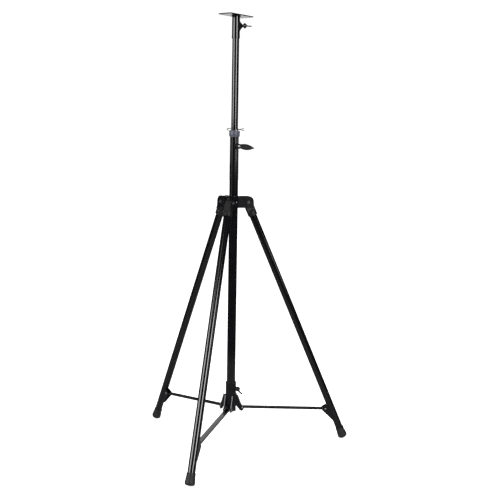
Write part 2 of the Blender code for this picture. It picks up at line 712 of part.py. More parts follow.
SPACER_R = 0.005            # collars on a pin that keep the strut in the middle of a wide clevis


def make_pin(name, parent, location, width, slot):
    """A pin across a clevis, with a head on each end and a spacer where the slot is wide."""
    seat = width / 2.0 + GAP
    head = [(0.0, seat + 0.003), (0.0042, seat + 0.003), (0.0054, seat + 0.0018), (0.0054, seat),
            (BOLT_R, seat)]
    outer = slot / 2.0 - GAP
    inner = STRUT_WIDTH / 2.0 + GAP
    if outer - inner > 2.0 * GAP:
        head += [(BOLT_R, outer), (SPACER_R, outer), (SPACER_R, inner), (BOLT_R, inner)]
    profile = head + [(radius, -height) for radius, height in reversed(head)]
    turned(name, profile, STEEL, parent, location, SIDEWAYS, SMALL_SEGMENTS, ring=False)


def make_strut(letter, pivot):
    """A channel with rounded ends, open below, with a pivot hole at each end."""
    start = -STRUT_END
    end = STRUT_LENGTH + STRUT_END
    half = STRUT_DEEP / 2.0
    side = rounded([(start, -half, 0.0045), (end, -half, 0.0045), (end, half, 0.0045),
                    (start, half, 0.0045)])
    strut = add(f"strut_{letter}", plate_mesh("strut", [side], STRUT_WIDTH), PAINT, pivot,
                rotation=SIDEWAYS)
    inside = (STRUT_LENGTH + 0.1, STRUT_WIDTH - 2.0 * STRUT_WALL, STRUT_DEEP)
    trough = add(f"strut_trough_{letter}", box_mesh("trough", inside), None, pivot,
                 (STRUT_LENGTH / 2.0, 0.0, -STRUT_WALL))
    boolean(strut, trough)
    for name, x in (("inner", 0.0), ("outer", STRUT_LENGTH)):
        mesh = cylinder_mesh("strut_hole", BOLT_R + HOLE_GAP, 0.050, SMALL_SEGMENTS)
        hole = add(f"strut_{name}_hole_{letter}", mesh, None, pivot, (x, 0.0, 0.0), SIDEWAYS)
        boolean(strut, hole)


TUBE_START = -0.052         # heights along the leg, from its upper hinge
TUBE_END = -1.370
SKIRT_TOP = -0.0485
SKIRT_END = -0.073
SKIRT_R = 0.0245
KNUCKLE_R = 0.0225
FOOT_TOP = -1.334
FOOT_R_TOP = 0.0212
FOOT_R_END = 0.0247
BRACKET_PLATE = 0.002
LEG_BRACKET_WIDTH = 0.030


def make_knuckle(letter, leg):
    """The plastic knuckle: a flat head round the hinge, and a socket that holds the leg's tube."""
    top = (PIVOT_OFF, 0.0, PIVOT_ALONG)
    outline = arc((0.0, 0.0), KNUCKLE_R, 0.0, 180.0, 12) + [(-KNUCKLE_R, SKIRT_TOP - 0.004),
                                                            (KNUCKLE_R, SKIRT_TOP - 0.004)]
    knuckle = add(f"leg_knuckle_{letter}", plate_mesh("knuckle", [outline], KNUCKLE_THICK), PLASTIC,
                  leg, top, SIDEWAYS)
    skirt = turned(f"knuckle_skirt_{letter}", rod(SKIRT_R, SKIRT_TOP, SKIRT_END), PLASTIC, leg, top,
                   segments=INNER_SEGMENTS, ring=False)
    make_cutter(skirt)
    boolean(knuckle, skirt, "UNION")
    bore_mesh = cylinder_mesh("knuckle_bore", LEG_R + GAP, 0.040, INNER_SEGMENTS)
    bore = add(f"knuckle_bore_{letter}", bore_mesh, None, leg,
               (PIVOT_OFF, 0.0, PIVOT_ALONG + TUBE_START + GAP - 0.020))
    boolean(knuckle, bore)


def make_cutter(piece):
    """Moves a turned piece over to the cutters, for a piece that it is joined to."""
    PARTS.objects.unlink(piece)
    CUTTERS.objects.link(piece)
    piece.hide_render = True
    piece.display_type = "WIRE"


def make_foot(letter, leg, floor):
    """The rubber boot on the leg's end, with a domed sole that the floor flattens."""
    seat = TUBE_END - GAP
    bore = LEG_R + GAP
    profile = [
        (0.0, seat),
        (bore, seat),
        (bore, FOOT_TOP),
        (FOOT_R_TOP + 0.0002, FOOT_TOP),
        (FOOT_R_TOP + 0.0008, FOOT_TOP - 0.0010),
        (FOOT_R_TOP + 0.0008, FOOT_TOP - 0.0055),
        (FOOT_R_TOP, FOOT_TOP - 0.0070),
        (FOOT_R_END, FOOT_TOP - 0.0390),
        (FOOT_R_END, FOOT_TOP - 0.0480),
        (FOOT_R_END - 0.0020, FOOT_TOP - 0.0530),
        (FOOT_R_END - 0.0060, FOOT_TOP - 0.0562),
        (0.0, FOOT_TOP - 0.0592),
    ]
    foot = turned(f"foot_{letter}", profile, RUBBER, leg, (PIVOT_OFF, 0.0, PIVOT_ALONG),
                  segments=INNER_SEGMENTS, ring=False)
    boolean(foot, floor)


def make_leg_bracket(letter, leg):
    """The folded bracket under the tube that takes the strut's outer end."""
    corners = [(0.0235, 0.0150, 0.0), (-0.0130, 0.0130, 0.0110), (-0.0130, -0.0120, 0.0110),
               (0.0150, -0.0800, 0.0030), (0.0235, -0.0800, 0.0)]
    bracket = add(f"leg_bracket_{letter}", plate_mesh("leg_bracket", [rounded(corners)], LEG_BRACKET_WIDTH),
                  SATIN, leg, rotation=SIDEWAYS)
    slot_width = LEG_BRACKET_WIDTH - 2.0 * BRACKET_PLATE
    slot = add(f"leg_bracket_slot_{letter}", box_mesh("slot", (0.060, slot_width, 0.140)), None, leg,
               (0.0140 - 0.030, 0.0, -0.03))
    boolean(bracket, slot)
    tube_mesh = cylinder_mesh("leg_bracket_saddle", LEG_R + GAP, 0.200, TUBE_SEGMENTS)
    saddle = add(f"leg_bracket_saddle_{letter}", tube_mesh, None, leg, (PIVOT_OFF, 0.0, -0.03))
    boolean(bracket, saddle)
    hole_mesh = cylinder_mesh("leg_bracket_hole", BOLT_R + HOLE_GAP, 0.050, SMALL_SEGMENTS)
    boolean(bracket, add(f"leg_bracket_hole_{letter}", hole_mesh, None, leg, rotation=SIDEWAYS))


def make_leg(letter, azimuth, floor):
    angle = math.radians(azimuth)
    around = (math.cos(angle), math.sin(angle))
    hub = frame(f"upper_hub_{letter}", AXIS, (0.0, 0.0, 0.0), (0.0, 0.0, angle))
    strut_pivot = frame(f"strut_pivot_{letter}", HUB_FRAME,
                        (STRUT_IN_R * around[0], STRUT_IN_R * around[1], STRUT_IN_Z),
                        (0.0, STRUT_TILT, angle))
    leg = frame(f"leg_pivot_{letter}", AXIS, (PIVOT_R * around[0], PIVOT_R * around[1], PIVOT_Z),
                (0.0, -LEG_TILT, angle))
    make_hub_bracket(letter, hub)
    make_hinge_hardware(letter, hub)
    make_pin(f"hub_pivot_pin_{letter}", bpy.data.objects[f"ear_{letter}"],
             (STRUT_IN_R, 0.0, STRUT_IN_Z), EAR_WIDTH, EAR_SLOT)
    make_strut(letter, strut_pivot)
    make_pin(f"strut_outer_pin_{letter}", leg, (0.0, 0.0, 0.0), LEG_BRACKET_WIDTH,
             LEG_BRACKET_WIDTH - 2.0 * BRACKET_PLATE)
    make_leg_bracket(letter, leg)
    make_knuckle(letter, leg)
    turned(f"leg_tube_{letter}", tube(LEG_R, LEG_R - WALL, TUBE_START, TUBE_END), PAINT, leg,
           (PIVOT_OFF, 0.0, PIVOT_ALONG))
    make_foot(letter, leg, floor)


# ---------------------------------------------------------------- the stand

def main():
    make_column()
    make_collar()
    make_wire_clip()
    make_end_cap()
    make_column_clamp()
    make_pole()
    make_adapter()
    make_small_clamps()
    make_upper_hub()
    make_lower_hub()
    floor = add("floor_plane", box_mesh("floor_plane", (2.0, 2.0, 0.05), (0.0, 0.0, -0.025)), None, None)
    for letter, azimuth in LEG_AZIMUTHS.items():
        make_leg(letter, azimuth, floor)
    bpy.context.view_layer.update()


main()
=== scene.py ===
"""The looks of the loudspeaker tripod stand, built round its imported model. Units are metres."""

import json
import math

import bmesh
import bpy
from mathutils import Matrix, Vector


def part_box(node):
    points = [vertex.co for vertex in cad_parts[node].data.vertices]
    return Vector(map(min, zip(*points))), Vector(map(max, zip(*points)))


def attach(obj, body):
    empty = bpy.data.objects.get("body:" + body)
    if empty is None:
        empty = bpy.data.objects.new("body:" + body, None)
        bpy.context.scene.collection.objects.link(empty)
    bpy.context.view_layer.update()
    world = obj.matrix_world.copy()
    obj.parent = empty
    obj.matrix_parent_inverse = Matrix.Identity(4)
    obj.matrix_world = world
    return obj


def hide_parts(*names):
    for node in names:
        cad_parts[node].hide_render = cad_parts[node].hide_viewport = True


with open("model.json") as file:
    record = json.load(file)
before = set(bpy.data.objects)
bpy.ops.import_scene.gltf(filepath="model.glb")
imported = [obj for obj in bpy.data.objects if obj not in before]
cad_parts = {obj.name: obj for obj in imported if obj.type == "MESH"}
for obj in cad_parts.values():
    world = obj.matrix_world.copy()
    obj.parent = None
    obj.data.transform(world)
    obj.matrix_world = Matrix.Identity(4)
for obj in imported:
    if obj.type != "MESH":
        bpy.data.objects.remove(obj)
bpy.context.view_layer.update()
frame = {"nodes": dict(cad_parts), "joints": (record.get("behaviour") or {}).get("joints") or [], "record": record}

# -------------------- places and sizes, from the frame

JOINTS = {joint["name"]: joint for joint in frame["joints"]}
LEGS = {"a": -90.0, "b": 30.0, "c": 150.0}


def span(node, axis):
    """A node's lowest and highest coordinate along one axis."""
    low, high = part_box(node)
    return low[axis], high[axis]


def half_size(node, axis):
    low, high = span(node, axis)
    return (high - low) / 2.0


def joint_point(name):
    return Vector(JOINTS[name]["pos_m"])


def joint_azimuth(name):
    """Which way a level joint's axis points, in radians."""
    axis = JOINTS[name]["axis"]
    return math.atan2(axis[1], axis[0])


AXIS_Y = joint_point("adapter_turn").y
COLUMN_R = half_size("column_tube", 0)
POLE_R = half_size("inner_pole", 0)
COLUMN_BOTTOM, COLUMN_TOP = span("column_tube", 2)
POLE_BOTTOM, POLE_TOP = span("inner_pole", 2)
COLLAR_TOP = span("column_collar", 2)[1]
HUB_BOTTOM, HUB_TOP = span("hub_bracket_a", 2)
SLEEVE_BOTTOM, SLEEVE_TOP = span("lower_hub", 2)
ADAPTER_BOTTOM, ADAPTER_TOP = span("adapter_sleeve", 2)
PLATE_BOTTOM, PLATE_TOP = span("adapter_plate", 2)
CLAMP_Z = joint_point("clamp_lever_turn").z
HUB_CLAMP_Z = joint_point("hub_knob_turn").z
ADAPTER_CLAMP_Z = joint_point("adapter_knob_turn").z
CLAMP_AZIMUTH = joint_azimuth("clamp_lever_turn")
HUB_CLAMP_AZIMUTH = joint_azimuth("hub_knob_turn")
ADAPTER_AZIMUTH = joint_azimuth("adapter_knob_turn")
HINGE_R = AXIS_Y - sum(span("hinge_bolt_a", 1)) / 2.0
HINGE_Z = sum(span("hinge_bolt_a", 2)) / 2.0
STRUT_IN = joint_point("strut_fold_a")
STRUT_OUT = joint_point("leg_fold_a")
STRUT_IN_R = AXIS_Y - STRUT_IN.y
STRUT_OUT_R = AXIS_Y - STRUT_OUT.y
STRUT_LENGTH = (STRUT_OUT - STRUT_IN).length
STRUT_TILT = math.atan2(STRUT_IN.z - STRUT_OUT.z, STRUT_OUT_R - STRUT_IN_R)
PIVOT_OFF = 0.036           # from a leg's axis in to its strut's pivot
HINGE_TO_PIVOT = math.hypot(STRUT_OUT_R - HINGE_R, HINGE_Z - STRUT_OUT.z)
PIVOT_ALONG = math.sqrt(HINGE_TO_PIVOT ** 2 - PIVOT_OFF ** 2)
LEG_TILT = (math.atan2(STRUT_OUT_R - HINGE_R, HINGE_Z - STRUT_OUT.z)
            + math.atan(PIVOT_OFF / PIVOT_ALONG))

LEG_R = 0.01905
COLLAR_R = half_size("column_collar", 0)
ADAPTER_R = half_size("adapter_sleeve", 0)
WALL = 0.0015
SLEEVE_R = 0.0275
GAP = 0.0003                # between pieces that touch
FIT = 0.0002                # round a screw in its bore, and round a leg in its socket
FINE = 96                   # segments round a tube
BOSS = 64                   # segments round the column clamp's boss
KNOB = 48                   # segments round a knob
SMALL = 40                  # segments round a bolt
CORNER_STEPS = 4            # steps in a turned corner's arc
SMOOTH_UNDER = 30.0         # degrees between faces that are shaded as one
SMOOTH_BEVELLED = 50.0      # the same, where edges are rounded
BEVEL_OVER = 40.0           # degrees between faces whose edge is rounded


# -------------------- places as matrices

def column_place(z=0.0, azimuth=0.0):
    """On the column's axis, with local X pointing away at that azimuth, in radians."""
    return Matrix.Translation((0.0, AXIS_Y, z)) @ Matrix.Rotation(azimuth, 4, "Z")


def outward_of(place):
    """The same place, with local Z where its X was."""
    return place @ Matrix.Rotation(math.pi / 2.0, 4, "Y")


def leg_side(letter, z=0.0):
    """On the column's axis, with local X pointing away towards that leg."""
    return column_place(z, math.radians(LEGS[letter]))


def leg_place(letter):
    """A leg's upper hinge, with local Z up along the leg and local X pointing away from the column."""
    return (leg_side(letter, HINGE_Z) @ Matrix.Translation((HINGE_R, 0.0, 0.0))
            @ Matrix.Rotation(-LEG_TILT, 4, "Y"))


def strut_place(letter):
    """A strut's inner pivot, with local X along the strut."""
    return (leg_side(letter, STRUT_IN.z) @ Matrix.Translation((STRUT_IN_R, 0.0, 0.0))
            @ Matrix.Rotation(STRUT_TILT, 4, "Y"))


STANDING = Matrix.Rotation(math.pi / 2.0, 4, "X")        # an outline in XY stands in XZ


# -------------------- materials

def nodes_of(name):
    made = bpy.data.materials.new(name)
    made.use_nodes = True
    tree = made.node_tree
    return made, tree, tree.nodes["Principled BSDF"]


def set_inputs(node, values):
    for name, value in values.items():
        node.inputs[name].default_value = value


def added(tree, kind, values, links):
    """A new node's outputs, with some of its inputs set and others fed from sockets."""
    made = tree.nodes.new(kind)
    set_inputs(made, values)
    for name, socket in links.items():
        tree.links.new(socket, made.inputs[name])
    return made.outputs


def noise(tree, scale, detail, roughness=0.55, stretch=(1.0, 1.0, 1.0)):
    """A noise in the piece's own metres, stretched along its axes."""
    place = added(tree, "ShaderNodeTexCoord", {}, {})["Object"]
    mapped = added(tree, "ShaderNodeMapping", {"Scale": stretch}, {"Vector": place})["Vector"]
    values = {"Scale": scale, "Detail": detail, "Roughness": roughness}
    return added(tree, "ShaderNodeTexNoise", values, {"Vector": mapped})["Fac"]


def ranged(tree, value, low, high, start=0.3, end=0.7):
    """That value, spread from low to high as it runs from start to end."""
    values = {"From Min": start, "From Max": end, "To Min": low, "To Max": high}
    return added(tree, "ShaderNodeMapRange", values, {"Value": value})["Result"]


def blended(tree, factor, first, second):
    """A colour between two, by that factor."""
    made = tree.nodes.new("ShaderNodeMix")
    made.data_type = "RGBA"
    colours = [socket for socket in made.inputs if socket.type == "RGBA"]
    colours[0].default_value = (*first, 1.0)
    colours[1].default_value = (*second, 1.0)
    tree.links.new(factor, made.inputs["Factor"])
    return [socket for socket in made.outputs if socket.type == "RGBA"][0]


def surface(name, dark, light, rough, cloud, grain, bump, inputs, haze=None, drift=(0.3, 0.7)):
    """A material whose colour drifts with a cloud, and its roughness with the same cloud or with a
    haze of its own, over a bump from a fine grain. All three are noises. A bump is its strength and
    its distance."""
    made, tree, shader = nodes_of(name)
    clouded = noise(tree, *cloud)
    hazed = noise(tree, *haze) if haze else clouded
    colour = blended(tree, ranged(tree, clouded, 0.0, 1.0, *drift), dark, light)
    relief = added(tree, "ShaderNodeBump", {"Strength": bump[0], "Distance": bump[1]},
                   {"Height": noise(tree, *grain)})["Normal"]
    tree.links.new(colour, shader.inputs["Base Color"])
    tree.links.new(ranged(tree, hazed, *rough), shader.inputs["Roughness"])
    tree.links.new(relief, shader.inputs["Normal"])
    set_inputs(shader, inputs)
    return made


def gloss_paint():
    """Gloss black powder coat: a slight orange peel, and faint handling haze in its gloss."""
    return surface("gloss_black_paint", (0.0016, 0.0016, 0.0020), (0.0030, 0.0030, 0.0036), (0.08, 0.13),
                   (14.0, 4.0), (420.0, 2.0), (0.02, 0.0001), {"IOR": 1.52},
                   haze=(60.0, 5.0, 0.55, (1.0, 1.0, 0.25)))


def satin_paint(name, dark, light):
    """Satin powder coat: finely pebbled."""
    return surface(name, dark, light, (0.14, 0.20), (30.0, 4.0), (1500.0, 3.0), (0.20, 0.0001),
                   {"Specular IOR Level": 0.26})


def moulded_plastic(name, dark, light, rough, gloss):
    """Moulded plastic with a fine sparked grain."""
    return surface(name, dark, light, (rough - 0.04, rough + 0.05), (45.0, 4.0), (1900.0, 2.0, 0.7),
                   (0.35, 0.0002), {"Specular IOR Level": gloss})


def black_rubber():
    """Black rubber: matt, faintly pitted, and dustier in patches."""
    return surface("moulded_black_rubber", (0.0050, 0.0050, 0.0050), (0.0120, 0.0118, 0.0115),
                   (0.46, 0.62), (38.0, 6.0, 0.65), (900.0, 3.0), (0.30, 0.0003), {}, drift=(0.45, 0.75))


def plated_steel(name, dark, light, rough):
    """Plated metal with fine tool marks round the piece's own Z axis."""
    return surface(name, dark, light, (rough - 0.05, rough + 0.07), (160.0, 4.0),
                   (2600.0, 2.0, 0.55, (0.06, 0.06, 1.0)), (0.20, 0.0001), {"Metallic": 1.0})


MATERIALS = {
    "black_paint": gloss_paint(),
    "satin_black": satin_paint("satin_black_paint", (0.0028, 0.0028, 0.0034), (0.0050, 0.0050, 0.0058)),
    "black_plastic": moulded_plastic("black_nylon", (0.0068, 0.0068, 0.0072), (0.0105, 0.0105, 0.0112),
                                     0.27, 0.30),
    "grey_plastic": moulded_plastic("blue_grey_plastic", (0.034, 0.036, 0.050), (0.060, 0.063, 0.084),
                                    0.34, 0.45),
    "black_rubber": black_rubber(),
    "zinc_steel": plated_steel("zinc_plated_steel", (0.32, 0.32, 0.33), (0.48, 0.48, 0.49), 0.30),
    "spring_wire": plated_steel("spring_wire_steel", (0.58, 0.59, 0.61), (0.74, 0.75, 0.77), 0.20),
    "brass": plated_steel("turned_brass", (0.50, 0.34, 0.13), (0.66, 0.48, 0.22), 0.34),
}

# Paler satin paint for the lower hub's proud rims: a painted highlight, the light lines that these edges catch.
HIGHLIGHT_RIM_PAINT = satin_paint("painted_highlight_rim_paint", (0.075, 0.076, 0.080), (0.170, 0.171, 0.176))
# Lighter satin paint for the hinge bolts and nuts: a painted highlight on their heads.
BOLT_HIGHLIGHT_PAINT = satin_paint("bolt_painted_highlight_paint", (0.020, 0.020, 0.022), (0.050, 0.050, 0.053))

for entry in frame["record"]["subparts"]:
    cad = frame["nodes"][entry["node"]]
    cad.data.materials.clear()
    cad.data.materials.append(MATERIALS[entry["material_slot"]])


# -------------------- shapes

def arc(centre, radius, start, end, steps):
    """Points on an arc; angles are in degrees."""
    points = []
    for i in range(steps + 1):
        angle = math.radians(start + (end - start) * i / steps)
        points.append((centre[0] + radius * math.cos(angle), centre[1] + radius * math.sin(angle)))
    return points


def rounded(corners, steps, closed=True):
    """(x, y, radius) corners, with an arc of that radius at each one that has a radius."""
    points = []
    count = len(corners)
    for i, (x, y, radius) in enumerate(corners):
        here = Vector((x, y))
        ends = not closed and i in (0, count - 1)
        if radius == 0.0 or ends:
            points.append((x, y))
            continue
        before = (Vector(corners[i - 1][:2]) - here).normalized()
        after = (Vector(corners[(i + 1) % count][:2]) - here).normalized()
        half = before.angle(after) / 2.0
        middle = (before + after).normalized()
        centre = here + middle * (radius / math.sin(half))
        start = here + before * (radius / math.tan(half)) - centre
        end = here + after * (radius / math.tan(half)) - centre
        for k in range(steps + 1):
            between = start.lerp(end, k / steps).normalized()
            points.append(tuple(centre + between * radius))
    return points


def new_piece(name, mesh, place):
    made = bpy.data.objects.new(name, mesh)
    made.matrix_world = place
    bpy.context.scene.collection.objects.link(made)
    return made


def shaded(mesh, angle):
    """Shades a mesh smooth across edges under that angle, in degrees."""
    mesh.shade_smooth()
    mesh.set_sharp_from_angle(angle=math.radians(angle))


def mesh_from(shape, angle=SMOOTH_UNDER):
    """A shaded mesh from a bmesh."""
    bmesh.ops.recalc_face_normals(shape, faces=shape.faces)
    mesh = bpy.data.meshes.new("mesh")
    shape.to_mesh(mesh)
    shape.free()
    shaded(mesh, angle)
    return mesh


def skin(shape, rows, closed):
    """Faces from each row of vertices to the next, and to the first from the last if closed. A row of
    one vertex is a point that the faces beside it meet in."""
    for first, second in zip(rows, rows[1:] + rows[:1] if closed else rows[1:]):
        count = max(len(first), len(second))
        for k in range(count):
            after = (k + 1) % count
            around = [first[k % len(first)], first[after % len(first)],
                      second[after % len(second)], second[k % len(second)]]
            unique = list(dict.fromkeys(around))
            if len(unique) > 2:
                shape.faces.new(unique)


def turned(corners, place, segments=FINE, ring=True):
    """(radius, height, corner radius) points turned about local Z; a ring's profile closes on itself."""
    profile = rounded(corners, CORNER_STEPS, closed=ring)
    shape = bmesh.new()
    rows = []
    for radius, height in profile:
        if radius < 1e-7:
            rows.append([shape.verts.new((0.0, 0.0, height))])
            continue
        row = []
        for k in range(segments):
            angle = math.tau * k / segments
            row.append(shape.verts.new((radius * math.cos(angle), radius * math.sin(angle), height)))
        rows.append(row)
    skin(shape, rows, ring)
    return new_piece("piece", mesh_from(shape), place)


def plate(outlines, thickness, place, bevel=0.0, bevel_steps=3, middle=0.0):
    """Flat outlines in local XY, extruded half the thickness each way along Z, with rounded rims."""
    curve = bpy.data.curves.new("outline", "CURVE")
    curve.dimensions = "2D"
    curve.fill_mode = "BOTH"
    curve.extrude = thickness / 2.0
    for outline in outlines:
        spline = curve.splines.new("POLY")
        spline.points.add(len(outline) - 1)
        spline.use_cyclic_u = True
        for point, (x, y) in zip(spline.points, outline):
            point.co = (x, y, 0.0, 1.0)
    holder = bpy.data.objects.new("outline", curve)
    bpy.context.scene.collection.objects.link(holder)
    graph = bpy.context.evaluated_depsgraph_get()
    mesh = bpy.data.meshes.new_from_object(holder.evaluated_get(graph))
    bpy.data.objects.remove(holder, do_unlink=True)
    bpy.data.curves.remove(curve)
    mesh.materials.clear()
    shape = bmesh.new()
    shape.from_mesh(mesh)
    bmesh.ops.remove_doubles(shape, verts=shape.verts, dist=0.000001)
    flat = [edge for edge in shape.edges if len(edge.link_faces) == 2
            and all(abs(face.normal.z) > 0.9 for face in edge.link_faces)]
    bmesh.ops.dissolve_edges(shape, edges=flat, use_verts=False)
    bmesh.ops.translate(shape, vec=(0.0, 0.0, middle), verts=shape.verts)
    if bevel > 0.0:
        rims = [edge for edge in shape.edges if len(edge.link_faces) == 2
                and abs(edge.link_faces[0].normal.z - edge.link_faces[1].normal.z) > 0.9]
        bmesh.ops.bevel(shape, geom=rims, offset=bevel, segments=bevel_steps, profile=0.5,
                        affect="EDGES", clamp_overlap=True)
    return new_piece("piece", mesh_from(shape), place)


def block_tool(size, place, centre=(0.0, 0.0, 0.0)):
    """A block to cut with, its middle at that centre in the place's own axes."""
    shape = bmesh.new()
    bmesh.ops.create_cube(shape, size=1.0)
    bmesh.ops.scale(shape, vec=size, verts=shape.verts)
    bmesh.ops.translate(shape, vec=centre, verts=shape.verts)
    return new_piece("tool", mesh_from(shape), place)


def applied(piece):
    """Makes the piece's modifiers part of its mesh."""
    graph = bpy.context.evaluated_depsgraph_get()
    mesh = bpy.data.meshes.new_from_object(piece.evaluated_get(graph))
    piece.modifiers.clear()
    piece.data = mesh


def cut(piece, tools):
    """Cuts each tool out of the piece, and removes the tools."""
    bpy.context.view_layer.update()
    for tool in tools:
        made = piece.modifiers.new("cut", "BOOLEAN")
        made.operation = "DIFFERENCE"
        made.object = tool
        made.solver = "EXACT"
    applied(piece)
    for tool in tools:
        bpy.data.objects.remove(tool, do_unlink=True)
    shaded(piece.data, SMOOTH_UNDER)


def softened(piece, width, steps):
    """Rounds the piece's sharp edges."""
    made = piece.modifiers.new("edges", "BEVEL")
    made.width = width
    made.segments = steps
    made.limit_method = "ANGLE"
    made.angle_limit = math.radians(BEVEL_OVER)
    made.use_clamp_overlap = True
    applied(piece)
    shaded(piece.data, SMOOTH_BEVELLED)


def dress(piece, body, slot, *nodes):
    """Gives a piece its shading, its material, its body and the CAD nodes that it stands for. The
    weighted normals keep large flat faces flat beside their rounded edges."""
    made = piece.modifiers.new("normals", "WEIGHTED_NORMAL")
    made.keep_sharp = True
    applied(piece)
    if nodes:
        piece.name = f"{nodes[0]}_look"
    piece.data.materials.clear()
    piece.data.materials.append(MATERIALS[slot])
    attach(piece, body)
    if nodes:
        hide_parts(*nodes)
    return piece


def smooth_path(points, steps):
    """A curve through the points, open at both ends."""
    path = [Vector(point) for point in points]
    path = [path[0] * 2.0 - path[1]] + path + [path[-1] * 2.0 - path[-2]]
    found = []
    for a, b, c, d in zip(path, path[1:], path[2:], path[3:]):
        for k in range(steps):
            t = k / steps
            found.append((b * 2.0 + (c - a) * t + (a * 2.0 - b * 5.0 + c * 4.0 - d) * t ** 2
                          + (b * 3.0 - a - c * 3.0 + d) * t ** 3) / 2.0)
    found.append(path[-2])
    return found


def ribbon(points, outside, inside):
    """The outline of a strip along a path in XY, that far to its left and to its right."""
    path = smooth_path([(x, y, 0.0) for x, y in points], 6)
    left = []
    right = []
    for i, point in enumerate(path):
        along = path[min(i + 1, len(path) - 1)] - path[max(i - 1, 0)]
        across = Vector((-along.y, along.x)).normalized()
        left.append(tuple(point.to_2d() + across * outside))
        right.append(tuple(point.to_2d() - across * inside))
    return left + right[::-1]


def spaced(points, step):
    """The path's points, a step apart."""
    found = [points[0]]
    left = step
    for here, there in zip(points, points[1:]):
        length = (there - here).length
        while left <= length:
            found.append(here.lerp(there, left / length))
            left += step
        left -= length
    return found


def swept(name, points, radii, place, sides, closed=False):
    """A round bar along a path, with its own radius at each point."""
    shape = bmesh.new()
    rows = []
    last = len(points) - 1
    side = None
    for i, (point, radius) in enumerate(zip(points, radii)):
        before = points[i - 1] if i > 0 or closed else point
        after = points[(i + 1) % (last + 1)] if i < last or closed else point
        along = (after - before).normalized()
        side = along.orthogonal() if side is None else side - along * side.dot(along)
        side.normalize()
        other = along.cross(side)
        row = []
        for k in range(sides):
            angle = math.tau * k / sides
            row.append(shape.verts.new(point + (side * math.cos(angle) + other * math.sin(angle)) * radius))
        rows.append(row)
    if not closed:
        shape.faces.new(rows[0])
        shape.faces.new(rows[-1])
    skin(shape, rows, closed)
    return new_piece(name, mesh_from(shape, SMOOTH_BEVELLED), place)


def bar(points, radius, place, sides=24):
    """A round bar along a path, with domed ends."""
    path = [Vector(point) for point in points]
    first = (path[1] - path[0]).normalized()
    last = (path[-1] - path[-2]).normalized()
    start = []
    end = []
    for degrees in (86.0, 66.0, 44.0, 22.0, 0.0):
        angle = math.radians(degrees)
        back = radius * (1.0 - math.sin(angle))
        start.append((path[0] + first * back, radius * math.cos(angle)))
        end.append((path[-1] - last * back, radius * math.cos(angle)))
    whole = start + [(point, radius) for point in path[1:-1]] + end[::-1]
    return swept("bar", [point for point, _ in whole], [size for _, size in whole], place, sides)


BEAD_STEP = 0.0005
BEAD_PITCH = 0.0019
BEAD_WANDER = 611.0


def bead(body, points, radius, place, closed=False):
    """A weld bead along a path, with the ripples of its puddles; it is painted with the piece."""
    path = spaced([Vector(point) for point in points], BEAD_STEP)
    radii = []
    for i in range(len(path)):
        along = i * BEAD_STEP
        ripple = (1.0 + 0.10 * math.sin(math.tau * along / BEAD_PITCH)
                  + 0.06 * math.sin(along * BEAD_WANDER + 1.3))
        taper = 1.0 if closed else min(1.0, 0.45 + 0.25 * min(i, len(path) - 1 - i))
        radii.append(radius * ripple * taper)
    dress(swept("weld_bead", path, radii, place, 12, closed), body, "satin_black")


def bead_pair(body, out, side, start, end, radius, place):
    """Two straight weld beads along a place's Z, one each side of its XZ plane."""
    for sign in (-1.0, 1.0):
        bead(body, [(out, sign * side, start), (out, sign * side, end)], radius, place)


def saddle_path(tall, wide, radius):
    """Where a bar of that half height and half width, pointing along X, meets an upright cylinder."""
    count = 72
    points = []
    for k in range(count + 1):
        angle = math.tau * k / count
        side = wide * math.cos(angle)
        points.append(Vector((math.sqrt(radius ** 2 - side ** 2), side, tall * math.sin(angle))))
    return points


def dome(radius, height, base, steps=8):
    """Profile points of a dome, from its top down to its rim."""
    points = []
    for k in range(steps + 1):
        angle = math.radians(90.0 * (1.0 - k / steps))
        points.append((radius * math.cos(angle), base + height * math.sin(angle), 0.0))
    return points


def hexagon(radius, base, height, place, chamfer=0.0007):
    """A six-sided head standing on local Z = base."""
    shape = bmesh.new()
    bmesh.ops.create_cone(shape, cap_ends=True, segments=6, radius1=radius, radius2=radius, depth=height)
    bmesh.ops.translate(shape, vec=(0.0, 0.0, base + height / 2.0), verts=shape.verts)
    crown = [edge for edge in shape.edges if all(vert.co.z > base + height / 2.0 for vert in edge.verts)]
    bmesh.ops.bevel(shape, geom=crown, offset=chamfer, segments=2, profile=0.5, affect="EDGES")
    corners = [edge for edge in shape.edges if abs(edge.verts[0].co.z - edge.verts[1].co.z) > height / 2.0]
    bmesh.ops.bevel(shape, geom=corners, offset=chamfer * 0.4, segments=2, profile=0.5, affect="EDGES")
    return new_piece("piece", mesh_from(shape, 25.0), place)


def cylinder_tool(radius, depth, place):
    """A cylinder to cut with, with its middle at the place's origin."""
    half = depth / 2.0
    return turned([(0.0, half, 0.0), (radius, half, 0.0), (radius, -half, 0.0), (0.0, -half, 0.0)],
          place, ring=False)


def joined(pieces):
    """One piece from several that touch or overlap, in the frame's own coordinates."""
    bpy.context.view_layer.update()
    shape = bmesh.new()
    for piece in pieces:
        piece.data.transform(piece.matrix_world)
        shape.from_mesh(piece.data)
    mesh = bpy.data.meshes.new("joined")
    shape.to_mesh(mesh)
    shape.free()
    for piece in pieces:
        bpy.data.objects.remove(piece, do_unlink=True)
    return new_piece("joined", mesh, Matrix.Identity(4))


# -------------------- tubes, collar and cap

COLLAR_RIM = 1.612          # where the collar's skirt ends, round the tube


def make_tube(node, body, radius, top, bottom, place):
    """A cut steel tube with its burrs broken."""
    inner = radius - WALL
    corners = [(radius, top, 0.0004), (radius, bottom, 0.0004), (inner, bottom, 0.0003), (inner, top, 0.0003)]
    dress(turned(corners, place), body, "black_paint", node)


